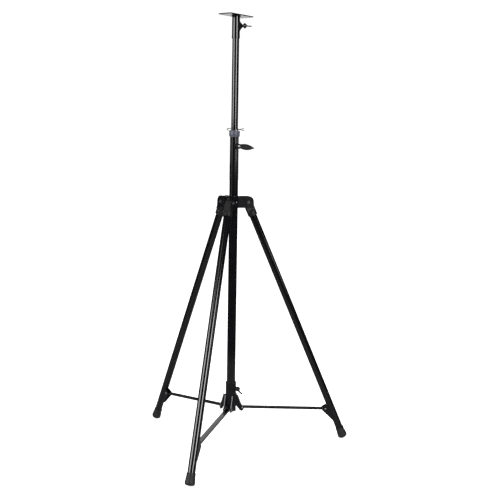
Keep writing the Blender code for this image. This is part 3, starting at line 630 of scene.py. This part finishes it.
def make_collar():
    """The guide collar: a plastic ring with a groove round it and a waist, closing in to its rim."""
    low = span("column_collar", 2)[0]
    rim = COLLAR_RIM
    outside = COLUMN_R + GAP
    inside = COLUMN_R - WALL - GAP
    bore = POLE_R + GAP
    groove = COLLAR_R - 0.0007
    corners = [(COLLAR_R - 0.0002, COLLAR_TOP, 0.0020), (COLLAR_R, COLLAR_TOP - 0.0075, 0.0003),
               (groove, COLLAR_TOP - 0.0083, 0.0003), (groove, rim + 0.0125, 0.0003),
               (COLLAR_R, rim + 0.0117, 0.0003), (COLLAR_R - 0.0008, rim + 0.0065, 0.0030),
               (outside + 0.0012, rim, 0.0006), (outside, rim, 0.0), (outside, COLUMN_TOP + GAP, 0.0),
               (inside, COLUMN_TOP + GAP, 0.0), (inside, low, 0.0004), (bore, low, 0.0004),
               (bore, COLLAR_TOP, 0.0010)]
    dress(turned(corners, column_place()), "column", "grey_plastic", "column_collar")


def make_end_cap():
    """The cup on the column's lower end, with a groove round it and a dimple below."""
    low, high = span("column_end_cap", 2)
    radius = half_size("column_end_cap", 0)
    groove = radius - 0.0006
    corners = [(0.0, COLUMN_BOTTOM - GAP, 0.0), (COLUMN_R + GAP, COLUMN_BOTTOM - GAP, 0.0),
               (COLUMN_R + GAP, high, 0.0003), (radius, high, 0.0007), (radius, low + 0.0095, 0.0003),
               (groove, low + 0.0090, 0.0003), (groove, low + 0.0078, 0.0003),
               (radius, low + 0.0073, 0.0003), (radius, low, 0.0040), (0.0080, low, 0.0008),
               (0.0072, low + 0.0015, 0.0008), (0.0, low + 0.0015, 0.0)]
    dress(turned(corners, column_place(), ring=False), "column", "black_plastic", "column_end_cap")


# -------------------- wire clip

CLIP_WIRE_R = 0.0018
CLIP_LEFT = -0.038
CLIP_RIGHT = 0.049
CLIP_TILT = math.radians(18.0)
CLIP_AZIMUTH = math.radians(24.0)
CLIP_CROSS = 0.032
CLIP_SPREAD = 0.0085


def make_wire_clip():
    """The sprung wire round the pole: its two ends cross and flare."""
    side_r = POLE_R + CLIP_WIRE_R + 0.0016
    centre = CLIP_LEFT + side_r
    half = [(CLIP_RIGHT, -CLIP_SPREAD), (CLIP_RIGHT - 0.007, -0.0055), (CLIP_CROSS, 0.0)]
    half += [(CLIP_CROSS - 0.006, 0.0058), (CLIP_CROSS - 0.014, 0.0135), (0.008, side_r - 0.0012)]
    half += arc((centre, 0.0), side_r, 90.0, 180.0, 7)
    outline = half + [(x, -y) for x, y in reversed(half[:-1])]
    last = len(outline) - 1
    crossing = CLIP_WIRE_R * 1.2 + GAP
    points = [(x, y, crossing * (2.0 * i / last - 1.0)) for i, (x, y) in enumerate(outline)]
    low, high = span("collar_wire_clip", 2)
    place = (column_place(0.0, CLIP_AZIMUTH) @ Matrix.Translation((0.0, 0.0, (low + high) / 2.0))
             @ Matrix.Rotation(CLIP_TILT, 4, "X"))
    dress(bar(smooth_path(points, 5), CLIP_WIRE_R, place, 16), "column", "spring_wire", "collar_wire_clip")


# -------------------- adapter and its clamp

ADAPTER_BORE = 0.0179
ADAPTER_BOSS_FACE = 0.0365
GUSSET_HALF = 0.0245
GUSSET_TIP = 0.0065
GUSSET_FLAT = 0.42
GUSSET_START = 0.012
PLATE_LONG = 0.187
PLATE_WIDE = 0.080
PLATE_AZIMUTH = math.radians(68.0)


def make_adapter():
    """The sleeve with its flared foot, the plate with its four holes, and the weld between them."""
    wide = ADAPTER_R - 0.0003
    foot = ADAPTER_R + 0.0004
    corners = [(wide, ADAPTER_TOP, 0.0), (wide, ADAPTER_BOTTOM + 0.0120, 0.0080),
               (foot, ADAPTER_BOTTOM + 0.0050, 0.0030), (foot, ADAPTER_BOTTOM, 0.0010),
               (ADAPTER_BORE, ADAPTER_BOTTOM, 0.0006), (ADAPTER_BORE, ADAPTER_TOP, 0.0)]
    dress(turned(corners, column_place()), "adapter", "black_paint", "adapter_sleeve")
    x, y = PLATE_LONG / 2.0, PLATE_WIDE / 2.0
    edge = rounded([(-x, -y, 0.008), (x, -y, 0.008), (x, y, 0.008), (-x, y, 0.008)], 10)
    holes = [arc((i * 0.075, k * 0.026), 0.0043, 0.0, 350.0, 35) for i in (-1, 1) for k in (-1, 1)]
    middle = (PLATE_TOP + PLATE_BOTTOM) / 2.0
    top = plate([edge] + holes, PLATE_TOP - PLATE_BOTTOM, column_place(middle, PLATE_AZIMUTH), 0.0012, 4)
    dress(top, "adapter", "black_paint", "adapter_plate")
    ring = [(x, y, 0.0) for x, y in arc((0.0, 0.0), ADAPTER_R + 0.0006, 0.0, 360.0, 120)]
    bead("adapter", ring, 0.0024, column_place(PLATE_BOTTOM - 0.0008), True)


def make_adapter_boss():
    """The flattened cone that braces the clamp screw, with the nut in its tip and a weld round it."""
    slope = (GUSSET_HALF - GUSSET_TIP) / (ADAPTER_BOSS_FACE - ADAPTER_R)
    base = GUSSET_TIP + slope * (ADAPTER_BOSS_FACE - GUSSET_START)
    place = outward_of(column_place(ADAPTER_CLAMP_Z, ADAPTER_AZIMUTH))
    cone = turned([(0.0, ADAPTER_BOSS_FACE, 0.0), (GUSSET_TIP, ADAPTER_BOSS_FACE, 0.0008),
                   (base, GUSSET_START, 0.0), (0.0, GUSSET_START, 0.0)], place, ring=False)
    cone.data.transform(Matrix.Diagonal((1.0, GUSSET_FLAT, 1.0, 1.0)))
    cut(cone, [cylinder_tool(ADAPTER_R, 0.2, column_place(ADAPTER_CLAMP_Z))])
    nut_base = 0.030
    nut = hexagon(0.0072, nut_base, ADAPTER_BOSS_FACE + 0.0012 - nut_base, place, 0.0006)
    dress(joined([cone, nut]), "adapter", "satin_black", "adapter_boss")
    bead("adapter", saddle_path(GUSSET_HALF, GUSSET_HALF * GUSSET_FLAT, ADAPTER_R), 0.0013,
         column_place(ADAPTER_CLAMP_Z, ADAPTER_AZIMUTH), True)


HANDLE_LEAN = math.radians(45.0)
SMALL_SCREW_R = 0.003


def make_handle_screw(names, body, place, tip, head, handle):
    """A clamp screw with its head. The handle is cranked and slim: its radius, its length, where its
    root is along the screw and off it, and the way it points round the screw."""
    radius, length, root, reach, degrees = handle
    near = head[-1][1]
    far = head[0][1]
    bore = SMALL_SCREW_R + FIT
    screw = dome(SMALL_SCREW_R, 0.0009, far + 0.0008, 5) + [(SMALL_SCREW_R, tip, 0.0004), (0.0, tip, 0.0)]
    dress(turned(screw, outward_of(place), SMALL, ring=False), body, "zinc_steel", names[0])
    grip = turned(head + [(bore, near, 0.0), (bore, far, 0.0)], outward_of(place), KNOB)
    around = math.radians(degrees)
    lean = math.sin(HANDLE_LEAN)
    along = Vector((math.cos(HANDLE_LEAN), lean * math.cos(around), lean * math.sin(around)))
    base = Vector((root, reach * math.cos(around), reach * math.sin(around)))
    rod = bar([base, base + along * length], radius, place)
    dress(joined([grip, rod]), body, "black_plastic", names[1])


def make_small_clamps():
    near = ADAPTER_BOSS_FACE + 0.0016
    far = near + 0.0215
    middle = (near + far) / 2.0
    diamond = [(0.0055, far, 0.0010), (0.0135, middle + 0.001, 0.0012),
               (0.0135, middle - 0.001, 0.0012), (0.0055, near, 0.0008)]
    make_handle_screw(("adapter_screw", "adapter_knob"), "adapter_knob",
                      column_place(ADAPTER_CLAMP_Z, ADAPTER_AZIMUTH), POLE_R + GAP, diamond,
                      (0.0030, 0.034, middle, 0.006, 0.0))
    near = HUB_BOSS_FACE + GAP
    far = near + 0.019
    grip = [(0.0105, far, 0.0010), (0.0120, far - 0.0014, 0.0009), (0.0120, far - 0.0060, 0.0003),
            (0.0115, far - 0.0064, 0.0002), (0.0115, far - 0.0074, 0.0002), (0.0120, far - 0.0078, 0.0003),
            (0.0120, near + 0.005, 0.0010), (0.0080, near, 0.0006)]
    make_handle_screw(("lower_hub_screw", "lower_hub_knob"), "lower_hub_knob",
                      column_place(HUB_CLAMP_Z, HUB_CLAMP_AZIMUTH), COLUMN_R + GAP, grip,
                      (0.0042, 0.034, near + 0.005, 0.008, -57.0))


# -------------------- column clamp

BOSS_R = 0.0135
BOSS_FACE = 0.034
LEVER_FACE = 0.0463
LEVER_HUB_R = 0.0125
LEVER_RECESS_R = 0.0101
CLAMP_SCREW_R = 0.004
BLADE_START = 0.010
BLADE_LENGTH = 0.087
BLADE_NECK = 0.0102
BLADE_BELLY = 0.0085
BLADE_DROOP = 0.0085
BLADE_HALF_THICK = 0.004


def make_blade(place, middle):
    """The lever's leaf: it springs from a neck, swells, thins and runs out to a drooping tip."""
    shape = bmesh.new()
    rows = []
    steps = 40
    sides = 32
    for i in range(steps + 1):
        t = i / steps
        tall = BLADE_NECK * (1.0 - t) + BLADE_BELLY * math.sin(math.pi * t) + 0.0008
        thick = BLADE_HALF_THICK * (1.0 - 0.55 * t ** 2)
        if i == steps:
            thick *= 0.5
        row = []
        for k in range(sides):
            angle = math.tau * k / sides
            out = math.copysign(abs(math.cos(angle)) ** 0.75, math.cos(angle)) * thick
            up = math.copysign(abs(math.sin(angle)) ** 0.85, math.sin(angle)) * tall
            row.append(shape.verts.new((middle + out, BLADE_START + BLADE_LENGTH * t,
                                        up - BLADE_DROOP * t)))
        rows.append(row)
    skin(shape, rows, False)
    shape.faces.new(rows[0])
    shape.faces.new(rows[-1])
    return new_piece("blade", mesh_from(shape, SMOOTH_BEVELLED), place)


def make_column_clamp():
    """The welded boss, the lever with its recessed hub, and the screw that it turns."""
    place = column_place(CLAMP_Z, CLAMP_AZIMUTH)
    out = outward_of(place)
    bore = CLAMP_SCREW_R + FIT
    boss = turned([(BOSS_R, BOSS_FACE, 0.0016), (BOSS_R, 0.016, 0.0), (bore, 0.016, 0.0),
                   (bore, BOSS_FACE, 0.0004)], out, BOSS)
    cut(boss, [cylinder_tool(COLUMN_R, 0.1, column_place(CLAMP_Z))])
    dress(boss, "column", "satin_black", "clamp_boss")
    bead("column", saddle_path(BOSS_R, BOSS_R, COLUMN_R + 0.0004), 0.0017, place, True)

    face = LEVER_FACE
    hub = turned([(LEVER_HUB_R, face, 0.0020), (LEVER_HUB_R, BOSS_FACE + GAP, 0.0007),
                  (bore, BOSS_FACE + GAP, 0.0), (bore, face - 0.0010, 0.0),
                  (LEVER_RECESS_R - 0.0005, face - 0.0010, 0.0003), (LEVER_RECESS_R, face, 0.0004)],
                 out, BOSS)
    blade = make_blade(place, (BOSS_FACE + face) / 2.0)
    recess = outward_of(place @ Matrix.Translation((0.040, 0.0, 0.0)))
    cut(blade, [cylinder_tool(LEVER_RECESS_R, 0.05, recess)])
    dress(joined([hub, blade]), "clamp_lever", "black_plastic", "clamp_lever")

    inner = COLUMN_R - WALL
    washer = turned([(0.0094, face - 0.0002, 0.0003), (0.0094, face - 0.0009, 0.0),
                     (0.0, face - 0.0009, 0.0), (0.0, face - 0.0002, 0.0)], out, SMALL)
    head = dome(0.0084, 0.0022, face + 0.0018) + [(0.0084, face - 0.0003, 0.0),
                                                  (CLAMP_SCREW_R, face - 0.0003, 0.0),
                                                  (CLAMP_SCREW_R, inner, 0.0), (0.0, inner, 0.0)]
    screw = turned(head, out, SMALL, ring=False)
    dress(joined([screw, washer]), "clamp_lever", "zinc_steel", "clamp_screw")


# -------------------- upper hub

HUB_R = half_size("upper_hub_sleeve", 0)
BRACKET_SLOT = 0.036
BRACKET_WIDTH = 0.041
BRACKET_ROOT = 0.0205
BRACKET_REACH = 0.1045
RIVET_AZIMUTHS = (-30.0, 90.0, 210.0)


def make_upper_hub():
    """The sleeve round the column, and a rivet's head between each two brackets."""
    middle = (HUB_TOP + HUB_BOTTOM) / 2.0
    low, high = span("upper_hub_sleeve", 2)
    inside = COLUMN_R + 0.0001
    corners = [(HUB_R, high, 0.0010), (HUB_R, low, 0.0010), (inside, low, 0.0), (inside, high, 0.0)]
    dress(turned(corners, column_place()), "column", "satin_black", "upper_hub_sleeve")
    for number, degrees in enumerate(RIVET_AZIMUTHS, 1):
        head = dome(0.0046, 0.0024, HUB_R) + [(0.0046, HUB_R - 0.0005, 0.0), (0.0, HUB_R - 0.0005, 0.0)]
        place = outward_of(column_place(middle, math.radians(degrees)))
        dress(turned(head, place, SMALL, ring=False), "column", "zinc_steel", f"hub_rivet_{number}")


def make_hub_bracket(letter):
    """A clevis folded from plate, welded to the hub's sleeve down both sides."""
    middle = (HUB_TOP + HUB_BOTTOM) / 2.0
    outline = rounded([(BRACKET_ROOT, HUB_TOP, 0.0), (BRACKET_ROOT, HUB_BOTTOM, 0.0),
                       (BRACKET_REACH, HUB_BOTTOM, 0.0030), (BRACKET_REACH - 0.0035, HUB_TOP, 0.0260)], 16)
    piece = plate([outline], BRACKET_WIDTH, leg_side(letter) @ STANDING)
    slot = block_tool((0.100, BRACKET_SLOT, 0.080), leg_side(letter, middle), (0.080, 0.0, 0.0))
    cut(piece, [slot, cylinder_tool(HUB_R, 0.2, column_place(middle))])
    softened(piece, 0.0008, 3)
    dress(piece, "column", "satin_black", f"hub_bracket_{letter}")
    bead_pair("column", 0.0192, 0.0190, HUB_BOTTOM + 0.004, HUB_TOP - 0.004, 0.0026, leg_side(letter))


def make_hinge_hardware(letter):
    """The hinge bolt's head on one side of the bracket and its nut on the other, each on a washer."""
    outer = BRACKET_WIDTH / 2.0
    hinge = leg_side(letter, HINGE_Z) @ Matrix.Translation((HINGE_R, 0.0, 0.0))
    for node, turn, tall in (("hinge_bolt", -math.pi / 2.0, 0.0050), ("hinge_nut", math.pi / 2.0, 0.0058)):
        place = hinge @ Matrix.Rotation(turn, 4, "X")
        washer = turned([(0.0088, outer + 0.0016, 0.0003), (0.0088, outer, 0.0),
                         (0.0, outer, 0.0), (0.0, outer + 0.0016, 0.0)], place, SMALL)
        head = hexagon(0.0068, outer + 0.0014, tall, place)
        stub = turned(dome(0.0036, 0.0010, outer + 0.0014 + tall, 4)
                      + [(0.0036, outer, 0.0), (0.0, outer, 0.0)], place, 24, ring=False)
        bolt = dress(joined([washer, head, stub]), "column", "satin_black", f"{node}_{letter}")
        # The bolt and nut take the lighter paint, a painted highlight.
        bolt.data.materials[0] = BOLT_HIGHLIGHT_PAINT


# -------------------- lower hub

SLEEVE_BORE = 0.0239
EAR_SLOT = 0.036
EAR_WIDTH = 0.041
EAR_TOP = 0.276
EAR_FOOT = 0.214
HUB_BOSS_R = 0.0095
HUB_BOSS_FACE = 0.040
BOLT_R = 0.003
SPACER_R = 0.005


def make_lower_hub():
    """The sliding sleeve with three pairs of ears; the rims that stand proud are painted paler, a painted
    highlight along their edges.
    """
    lip = SLEEVE_R + 0.0009
    body = turned([(SLEEVE_R, SLEEVE_TOP, 0.0012), (SLEEVE_R, SLEEVE_BOTTOM + 0.0095, 0.0015),
                   (lip, SLEEVE_BOTTOM + 0.0075, 0.0012), (lip, SLEEVE_BOTTOM, 0.0022),
                   (SLEEVE_BORE, SLEEVE_BOTTOM, 0.0003), (SLEEVE_BORE, SLEEVE_TOP, 0.0003)],
                  column_place())
    pieces = [body]
    rims = [turned([(lip + 0.0003, SLEEVE_BOTTOM + 0.0066, 0.0004),
                    (lip + 0.0003, SLEEVE_BOTTOM + 0.0044, 0.0004),
                    (lip - 0.0004, SLEEVE_BOTTOM + 0.0044, 0.0),
                    (lip - 0.0004, SLEEVE_BOTTOM + 0.0066, 0.0)], column_place())]
    for letter in LEGS:
        place = leg_side(letter)
        outline = rounded([(0.018, EAR_TOP, 0.0), (0.018, EAR_FOOT, 0.0), (0.029, EAR_FOOT, 0.003),
                           (0.044, 0.190, 0.006), (0.058, 0.1835, 0.006), (0.0705, 0.204, 0.007),
                           (0.052, 0.224, 0.012), (0.037, 0.268, 0.010)], 10)
        ears = plate([outline], EAR_WIDTH, place @ STANDING)
        slot = block_tool((0.060, EAR_SLOT, 0.130), place, (0.0592, 0.0, 0.230))
        cut(ears, [slot, cylinder_tool(SLEEVE_BORE + 0.001, 0.3, column_place(0.25))])
        softened(ears, 0.0008, 3)
        pieces.append(ears)
        edge = ribbon([(0.0335, 0.2735), (0.0385, 0.2600), (0.0445, 0.2430), (0.0520, 0.2245),
                       (0.0600, 0.2150), (0.0630, 0.2120)], 0.0015, 0.0025)
        for side in (-1.0, 1.0):
            rims.append(plate([edge], 0.0036, place @ STANDING, 0.0009, 3,
                              side * (EAR_WIDTH + EAR_SLOT) / 4.0))
        bead_pair("lower_hub", 0.0200, 0.0190, EAR_FOOT + 0.005, EAR_TOP - 0.005, 0.0024, place)
    dress(joined(pieces), "lower_hub", "satin_black", "lower_hub")
    # The rims take the paler paint: a painted highlight along the ears' edges and round the lip.
    highlight_rims = dress(joined(rims), "lower_hub", "satin_black")
    highlight_rims.name = "lower_hub_painted_highlight_rims"
    highlight_rims.data.materials[0] = HIGHLIGHT_RIM_PAINT


def make_lower_hub_fittings():
    """The liner bush with its flange on top, and the welded boss for the clamp screw."""
    rim = SLEEVE_TOP + GAP
    bore = COLUMN_R + GAP
    liner = SLEEVE_BORE - GAP
    flange = SLEEVE_R - 0.0005
    corners = [(flange, rim + 0.004, 0.0012), (flange, rim, 0.0), (liner, rim, 0.0),
               (liner, SLEEVE_BOTTOM, 0.0), (bore, SLEEVE_BOTTOM, 0.0), (bore, rim + 0.004, 0.0008)]
    dress(turned(corners, column_place()), "lower_hub", "black_plastic", "lower_hub_bush")
    place = column_place(HUB_CLAMP_Z, HUB_CLAMP_AZIMUTH)
    hole = SMALL_SCREW_R + FIT
    boss = turned([(HUB_BOSS_R, HUB_BOSS_FACE, 0.0014), (HUB_BOSS_R, 0.020, 0.0),
                   (hole, 0.020, 0.0), (hole, HUB_BOSS_FACE, 0.0004)], outward_of(place), KNOB)
    cut(boss, [cylinder_tool(SLEEVE_R, 0.1, column_place(HUB_CLAMP_Z))])
    dress(boss, "lower_hub", "satin_black", "lower_hub_boss")
    bead("lower_hub", saddle_path(HUB_BOSS_R, HUB_BOSS_R, SLEEVE_R + 0.0003), 0.0014, place, True)


def make_pin(node, body, place, width, slot):
    """A pin across a clevis with domed heads, and spacers where the clevis is wide."""
    seat = width / 2.0
    profile = dome(0.0056, 0.0032, seat) + [(BOLT_R, seat, 0.0)]
    inner = STRUT_WIDTH / 2.0 + GAP
    if slot / 2.0 - inner > 0.001:
        profile += [(BOLT_R, slot / 2.0, 0.0), (SPACER_R, slot / 2.0, 0.0003), (SPACER_R, inner, 0.0003),
                    (BOLT_R, inner, 0.0)]
    profile += [(radius, -height, corner) for radius, height, corner in reversed(profile)]
    dress(turned(profile, place @ STANDING, SMALL, ring=False), body, "zinc_steel", node)


# -------------------- legs

STRUT_WIDTH = 0.024
STRUT_DEEP = 0.010
STRUT_WALL = 0.0016
STRUT_END = 0.0085
TUBE_START = -0.052
TUBE_END = -1.370
SKIRT_TOP = -0.0485
SKIRT_END = -0.073
SKIRT_R = 0.0245
KNUCKLE_R = 0.0225
KNUCKLE_THICK = 0.034
FOOT_TOP = -1.334
FOOT_R_TOP = 0.0212
FOOT_R_END = 0.0247
FOOT_LIP = 0.0072
FOOT_WIDEST = 0.0390
LEG_BRACKET_WIDTH = 0.030
LEG_BRACKET_SLOT = 0.026


def pivot_place(letter):
    """A strut's outer pivot, turned like its leg."""
    return leg_place(letter) @ Matrix.Translation((-PIVOT_OFF, 0.0, -PIVOT_ALONG))


def make_strut(letter):
    """A pressed channel with rounded ends, open below."""
    place = strut_place(letter)
    half = STRUT_DEEP / 2.0
    start, end = -STRUT_END, STRUT_LENGTH + STRUT_END
    outline = rounded([(x, y, 0.0047) for x, y in ((start, -half), (end, -half), (end, half), (start, half))],
                      10)
    piece = plate([outline], STRUT_WIDTH, place @ STANDING)
    trough = block_tool((STRUT_LENGTH + 0.1, STRUT_WIDTH - 2.0 * STRUT_WALL, STRUT_DEEP), place,
                        (STRUT_LENGTH / 2.0, 0.0, -STRUT_WALL))
    cut(piece, [trough])
    softened(piece, 0.0007, 3)
    dress(piece, f"strut_{letter}", "black_paint", f"strut_{letter}")


def make_knuckle(letter):
    """A moulded knuckle: a flat head round the hinge, a shoulder, and a lipped socket on the tube."""
    place = leg_place(letter)
    outline = arc((0.0, 0.0), KNUCKLE_R, 0.0, 180.0, 32)
    outline += [(-KNUCKLE_R, SKIRT_TOP - 0.002), (KNUCKLE_R, SKIRT_TOP - 0.002)]
    head = plate([outline], KNUCKLE_THICK, place @ STANDING, 0.0022, 4)
    seat = TUBE_START + GAP
    socket = LEG_R + FIT
    groove = SKIRT_R - 0.0006
    corners = [(0.0, SKIRT_TOP + 0.0100, 0.0), (0.0120, SKIRT_TOP + 0.0100, 0.0050),
               (SKIRT_R - 0.0010, SKIRT_TOP, 0.0020), (SKIRT_R, SKIRT_TOP - 0.0030, 0.0010),
               (SKIRT_R, SKIRT_END + 0.0060, 0.0004), (groove, SKIRT_END + 0.0054, 0.0003),
               (groove, SKIRT_END + 0.0044, 0.0003), (SKIRT_R, SKIRT_END + 0.0038, 0.0004),
               (SKIRT_R, SKIRT_END, 0.0012), (socket, SKIRT_END, 0.0004), (socket, seat, 0.0),
               (0.0, seat, 0.0)]
    skirt = turned(corners, place, ring=False)
    dress(joined([head, skirt]), f"leg_{letter}", "black_plastic", f"leg_knuckle_{letter}")


def make_leg_bracket(letter):
    """The folded bracket under the tube, with a round nose about the strut's pivot."""
    place = pivot_place(letter)
    corners = [(0.0240, 0.0150, 0.0), (-0.0130, 0.0130, 0.0110), (-0.0130, -0.0120, 0.0110),
               (0.0150, -0.0800, 0.0030), (0.0240, -0.0800, 0.0)]
    piece = plate([rounded(corners, 12)], LEG_BRACKET_WIDTH, place @ STANDING)
    slot_end = 0.0140
    slot_long = 0.060
    slot = block_tool((slot_long, LEG_BRACKET_SLOT, 0.140), place, (slot_end - slot_long / 2.0, 0.0, -0.03))
    tube = cylinder_tool(LEG_R - FIT, 0.2, place @ Matrix.Translation((PIVOT_OFF, 0.0, -0.03)))
    cut(piece, [slot, tube])
    softened(piece, 0.0006, 2)
    dress(piece, f"leg_{letter}", "satin_black", f"leg_bracket_{letter}")
    bead_pair(f"leg_{letter}", 0.0242, 0.0156, 0.0120, -0.0770, 0.0015, place)


def make_foot(letter):
    """A rubber boot with a lipped mouth and grip grooves; the floor flattens its domed sole."""
    mouth = FOOT_R_TOP + 0.0008
    socket = LEG_R + FIT
    corners = [(0.0, TUBE_END - GAP, 0.0), (socket, TUBE_END - GAP, 0.0), (socket, FOOT_TOP, 0.0006),
               (mouth, FOOT_TOP, 0.0012), (mouth, FOOT_TOP - FOOT_LIP + 0.0014, 0.0010),
               (FOOT_R_TOP, FOOT_TOP - FOOT_LIP, 0.0010)]
    for k in range(3):
        down = 0.0150 + 0.0075 * k
        radius = FOOT_R_TOP + (FOOT_R_END - FOOT_R_TOP) * (down - FOOT_LIP) / (FOOT_WIDEST - FOOT_LIP)
        groove = radius - 0.0007
        corners += [(radius, FOOT_TOP - down + 0.0012, 0.0004), (groove, FOOT_TOP - down + 0.0006, 0.0002),
                    (groove, FOOT_TOP - down - 0.0006, 0.0002), (radius, FOOT_TOP - down - 0.0012, 0.0004)]
    corners += [(FOOT_R_END, FOOT_TOP - FOOT_WIDEST, 0.0010), (FOOT_R_END, FOOT_TOP - 0.0480, 0.0030),
                (FOOT_R_END - 0.0020, FOOT_TOP - 0.0530, 0.0020),
                (FOOT_R_END - 0.0060, FOOT_TOP - 0.0562, 0.0040), (0.0, FOOT_TOP - 0.0592, 0.0)]
    boot = turned(corners, leg_place(letter), ring=False)
    cut(boot, [block_tool((2.0, 2.0, 0.05), Matrix.Translation((0.0, 0.0, -0.025)))])
    dress(boot, f"leg_{letter}", "black_rubber", f"foot_{letter}")


def make_leg(letter):
    make_tube(f"leg_tube_{letter}", f"leg_{letter}", LEG_R, TUBE_START, TUBE_END, leg_place(letter))
    make_knuckle(letter)
    make_leg_bracket(letter)
    make_foot(letter)
    make_strut(letter)
    inner = leg_side(letter, STRUT_IN.z) @ Matrix.Translation((STRUT_IN_R, 0.0, 0.0))
    make_pin(f"hub_pivot_pin_{letter}", "lower_hub", inner, EAR_WIDTH, EAR_SLOT)
    make_pin(f"strut_outer_pin_{letter}", f"leg_{letter}", pivot_place(letter), LEG_BRACKET_WIDTH,
             LEG_BRACKET_SLOT)


def main():
    make_tube("column_tube", "column", COLUMN_R, COLUMN_TOP, COLUMN_BOTTOM, column_place())
    make_collar()
    make_wire_clip()
    make_end_cap()
    make_tube("inner_pole", "pole", POLE_R, POLE_TOP, POLE_BOTTOM, column_place())
    make_adapter()
    make_adapter_boss()
    make_small_clamps()
    make_column_clamp()
    make_upper_hub()
    make_lower_hub()
    make_lower_hub_fittings()
    for letter in LEGS:
        make_hub_bracket(letter)
        make_hinge_hardware(letter)
        make_leg(letter)


main()

# -------------------- floor, light and camera

VIEW = math.radians(17.07)          # the camera's azimuth
CAMERA_BACK = 4.7311                # from the column's axis
CAMERA_HEIGHT = 1.6037
CAMERA_PITCH = 0.1195               # down, yaw to the right and roll, in radians
CAMERA_YAW = 0.0187
CAMERA_ROLL = 0.0165
CAMERA_LENS = 66.65                 # mm, on a 36 mm sensor


def make_camera():
    """The camera, back from the column at VIEW, pitched, turned and rolled a little."""
    data = bpy.data.cameras.new("camera")
    data.lens = CAMERA_LENS
    data.sensor_width = 36.0
    data.clip_start = 0.05
    data.clip_end = 100.0
    camera = bpy.data.objects.new("camera", data)
    bpy.context.scene.collection.objects.link(camera)
    forward = Vector((math.sin(CAMERA_YAW) * math.cos(CAMERA_PITCH),
                      math.cos(CAMERA_YAW) * math.cos(CAMERA_PITCH), -math.sin(CAMERA_PITCH)))
    right = Vector((math.cos(CAMERA_YAW), -math.sin(CAMERA_YAW), 0.0))
    above = right.cross(forward)
    side = right * math.cos(CAMERA_ROLL) + above * math.sin(CAMERA_ROLL)
    top = above * math.cos(CAMERA_ROLL) - right * math.sin(CAMERA_ROLL)
    turn = Matrix((side, top, -forward)).transposed().to_4x4()
    place = (Matrix.Translation((0.0, AXIS_Y, 0.0)) @ Matrix.Rotation(VIEW, 4, "Z")
             @ Matrix.Translation((0.0, -CAMERA_BACK, CAMERA_HEIGHT)) @ turn)
    camera.matrix_world = place
    bpy.context.scene.camera = camera


def make_floor():
    shape = bmesh.new()
    bmesh.ops.create_grid(shape, x_segments=1, y_segments=1, size=30.0)
    floor = new_piece("floor", mesh_from(shape), Matrix.Identity(4))
    made, _, shader = nodes_of("pale_floor")
    set_inputs(shader, {"Base Color": (0.9, 0.9, 0.9, 1.0), "Roughness": 0.9, "Specular IOR Level": 0.0,
                        "Emission Color": (1.0, 1.0, 1.0, 1.0), "Emission Strength": 0.5})
    floor.data.materials.append(made)
    floor.visible_glossy = False


def area_light(name, shape, area, radiance):
    """A lamp that the camera doesn't see; its power follows from how bright it should look."""
    data = bpy.data.lights.new(name, "AREA")
    data.shape = shape
    data.energy = math.pi * area * radiance
    light = bpy.data.objects.new(name, data)
    light.visible_camera = False
    bpy.context.scene.collection.objects.link(light)
    return light


def strip_light(name, azimuth, distance, low, high, wide, radiance):
    """An upright softbox facing the column, at an azimuth from the camera's own, in degrees."""
    light = area_light(name, "RECTANGLE", wide * (high - low), radiance)
    light.data.size = wide
    light.data.size_y = high - low
    angle = VIEW + math.radians(azimuth)
    away = Vector((math.sin(angle), -math.cos(angle), 0.0))
    light.location = Vector((0.0, AXIS_Y, (low + high) / 2.0)) + away * distance
    light.rotation_euler = away.to_track_quat("Z", "Y").to_euler()


def disc_light(name, radius, radiance):
    """A disc lying on the floor under the column, shining up."""
    light = area_light(name, "DISK", math.pi * radius ** 2, radiance)
    light.data.size = 2.0 * radius
    light.location = (0.0, AXIS_Y, 0.001)
    light.rotation_euler = (math.pi, 0.0, 0.0)


def make_lights():
    """Wide softboxes high up either side of the camera, dimmer ones below them, beside them and
    overhead, a white backdrop, and the light that a white floor throws up round the base."""
    strip_light("left_key", -58.0, 6.5, 1.78, 4.30, 3.90, 9.0)
    strip_light("right_key", 32.0, 6.5, 1.78, 4.30, 2.20, 14.0)
    strip_light("left_low", -61.5, 5.0, 1.36, 1.70, 3.40, 0.9)
    strip_light("right_low", 32.0, 5.0, 1.30, 1.70, 1.60, 2.2)
    strip_light("left_dim", -61.5, 5.0, 0.95, 1.30, 3.40, 0.4)
    strip_light("right_side", 71.0, 5.0, 1.36, 1.68, 2.20, 2.6)
    strip_light("overhead", -32.0, 6.5, 5.00, 6.20, 3.00, 2.0)
    strip_light("backdrop", 180.0, 4.0, 1.35, 3.60, 6.00, 0.9)
    disc_light("floor_bounce", 2.0, 0.26)


def make_world():
    """White to the camera and soft to the floor; dark round the gloss, so that edges stay dark."""
    world = bpy.data.worlds.new("studio")
    bpy.context.scene.world = world
    world.use_nodes = True
    tree = world.node_tree
    background = tree.nodes["Background"]
    ray = added(tree, "ShaderNodeLightPath", {}, {})["Is Glossy Ray"]
    glossy = added(tree, "ShaderNodeMapRange", {"To Min": 1.05, "To Max": 0.02}, {"Value": ray})
    tree.links.new(glossy["Result"], background.inputs["Strength"])
    background.inputs["Color"].default_value = (1.0, 1.0, 1.0, 1.0)


make_world()
make_floor()
make_lights()
make_camera()
bpy.context.scene.view_settings.view_transform = "Standard"
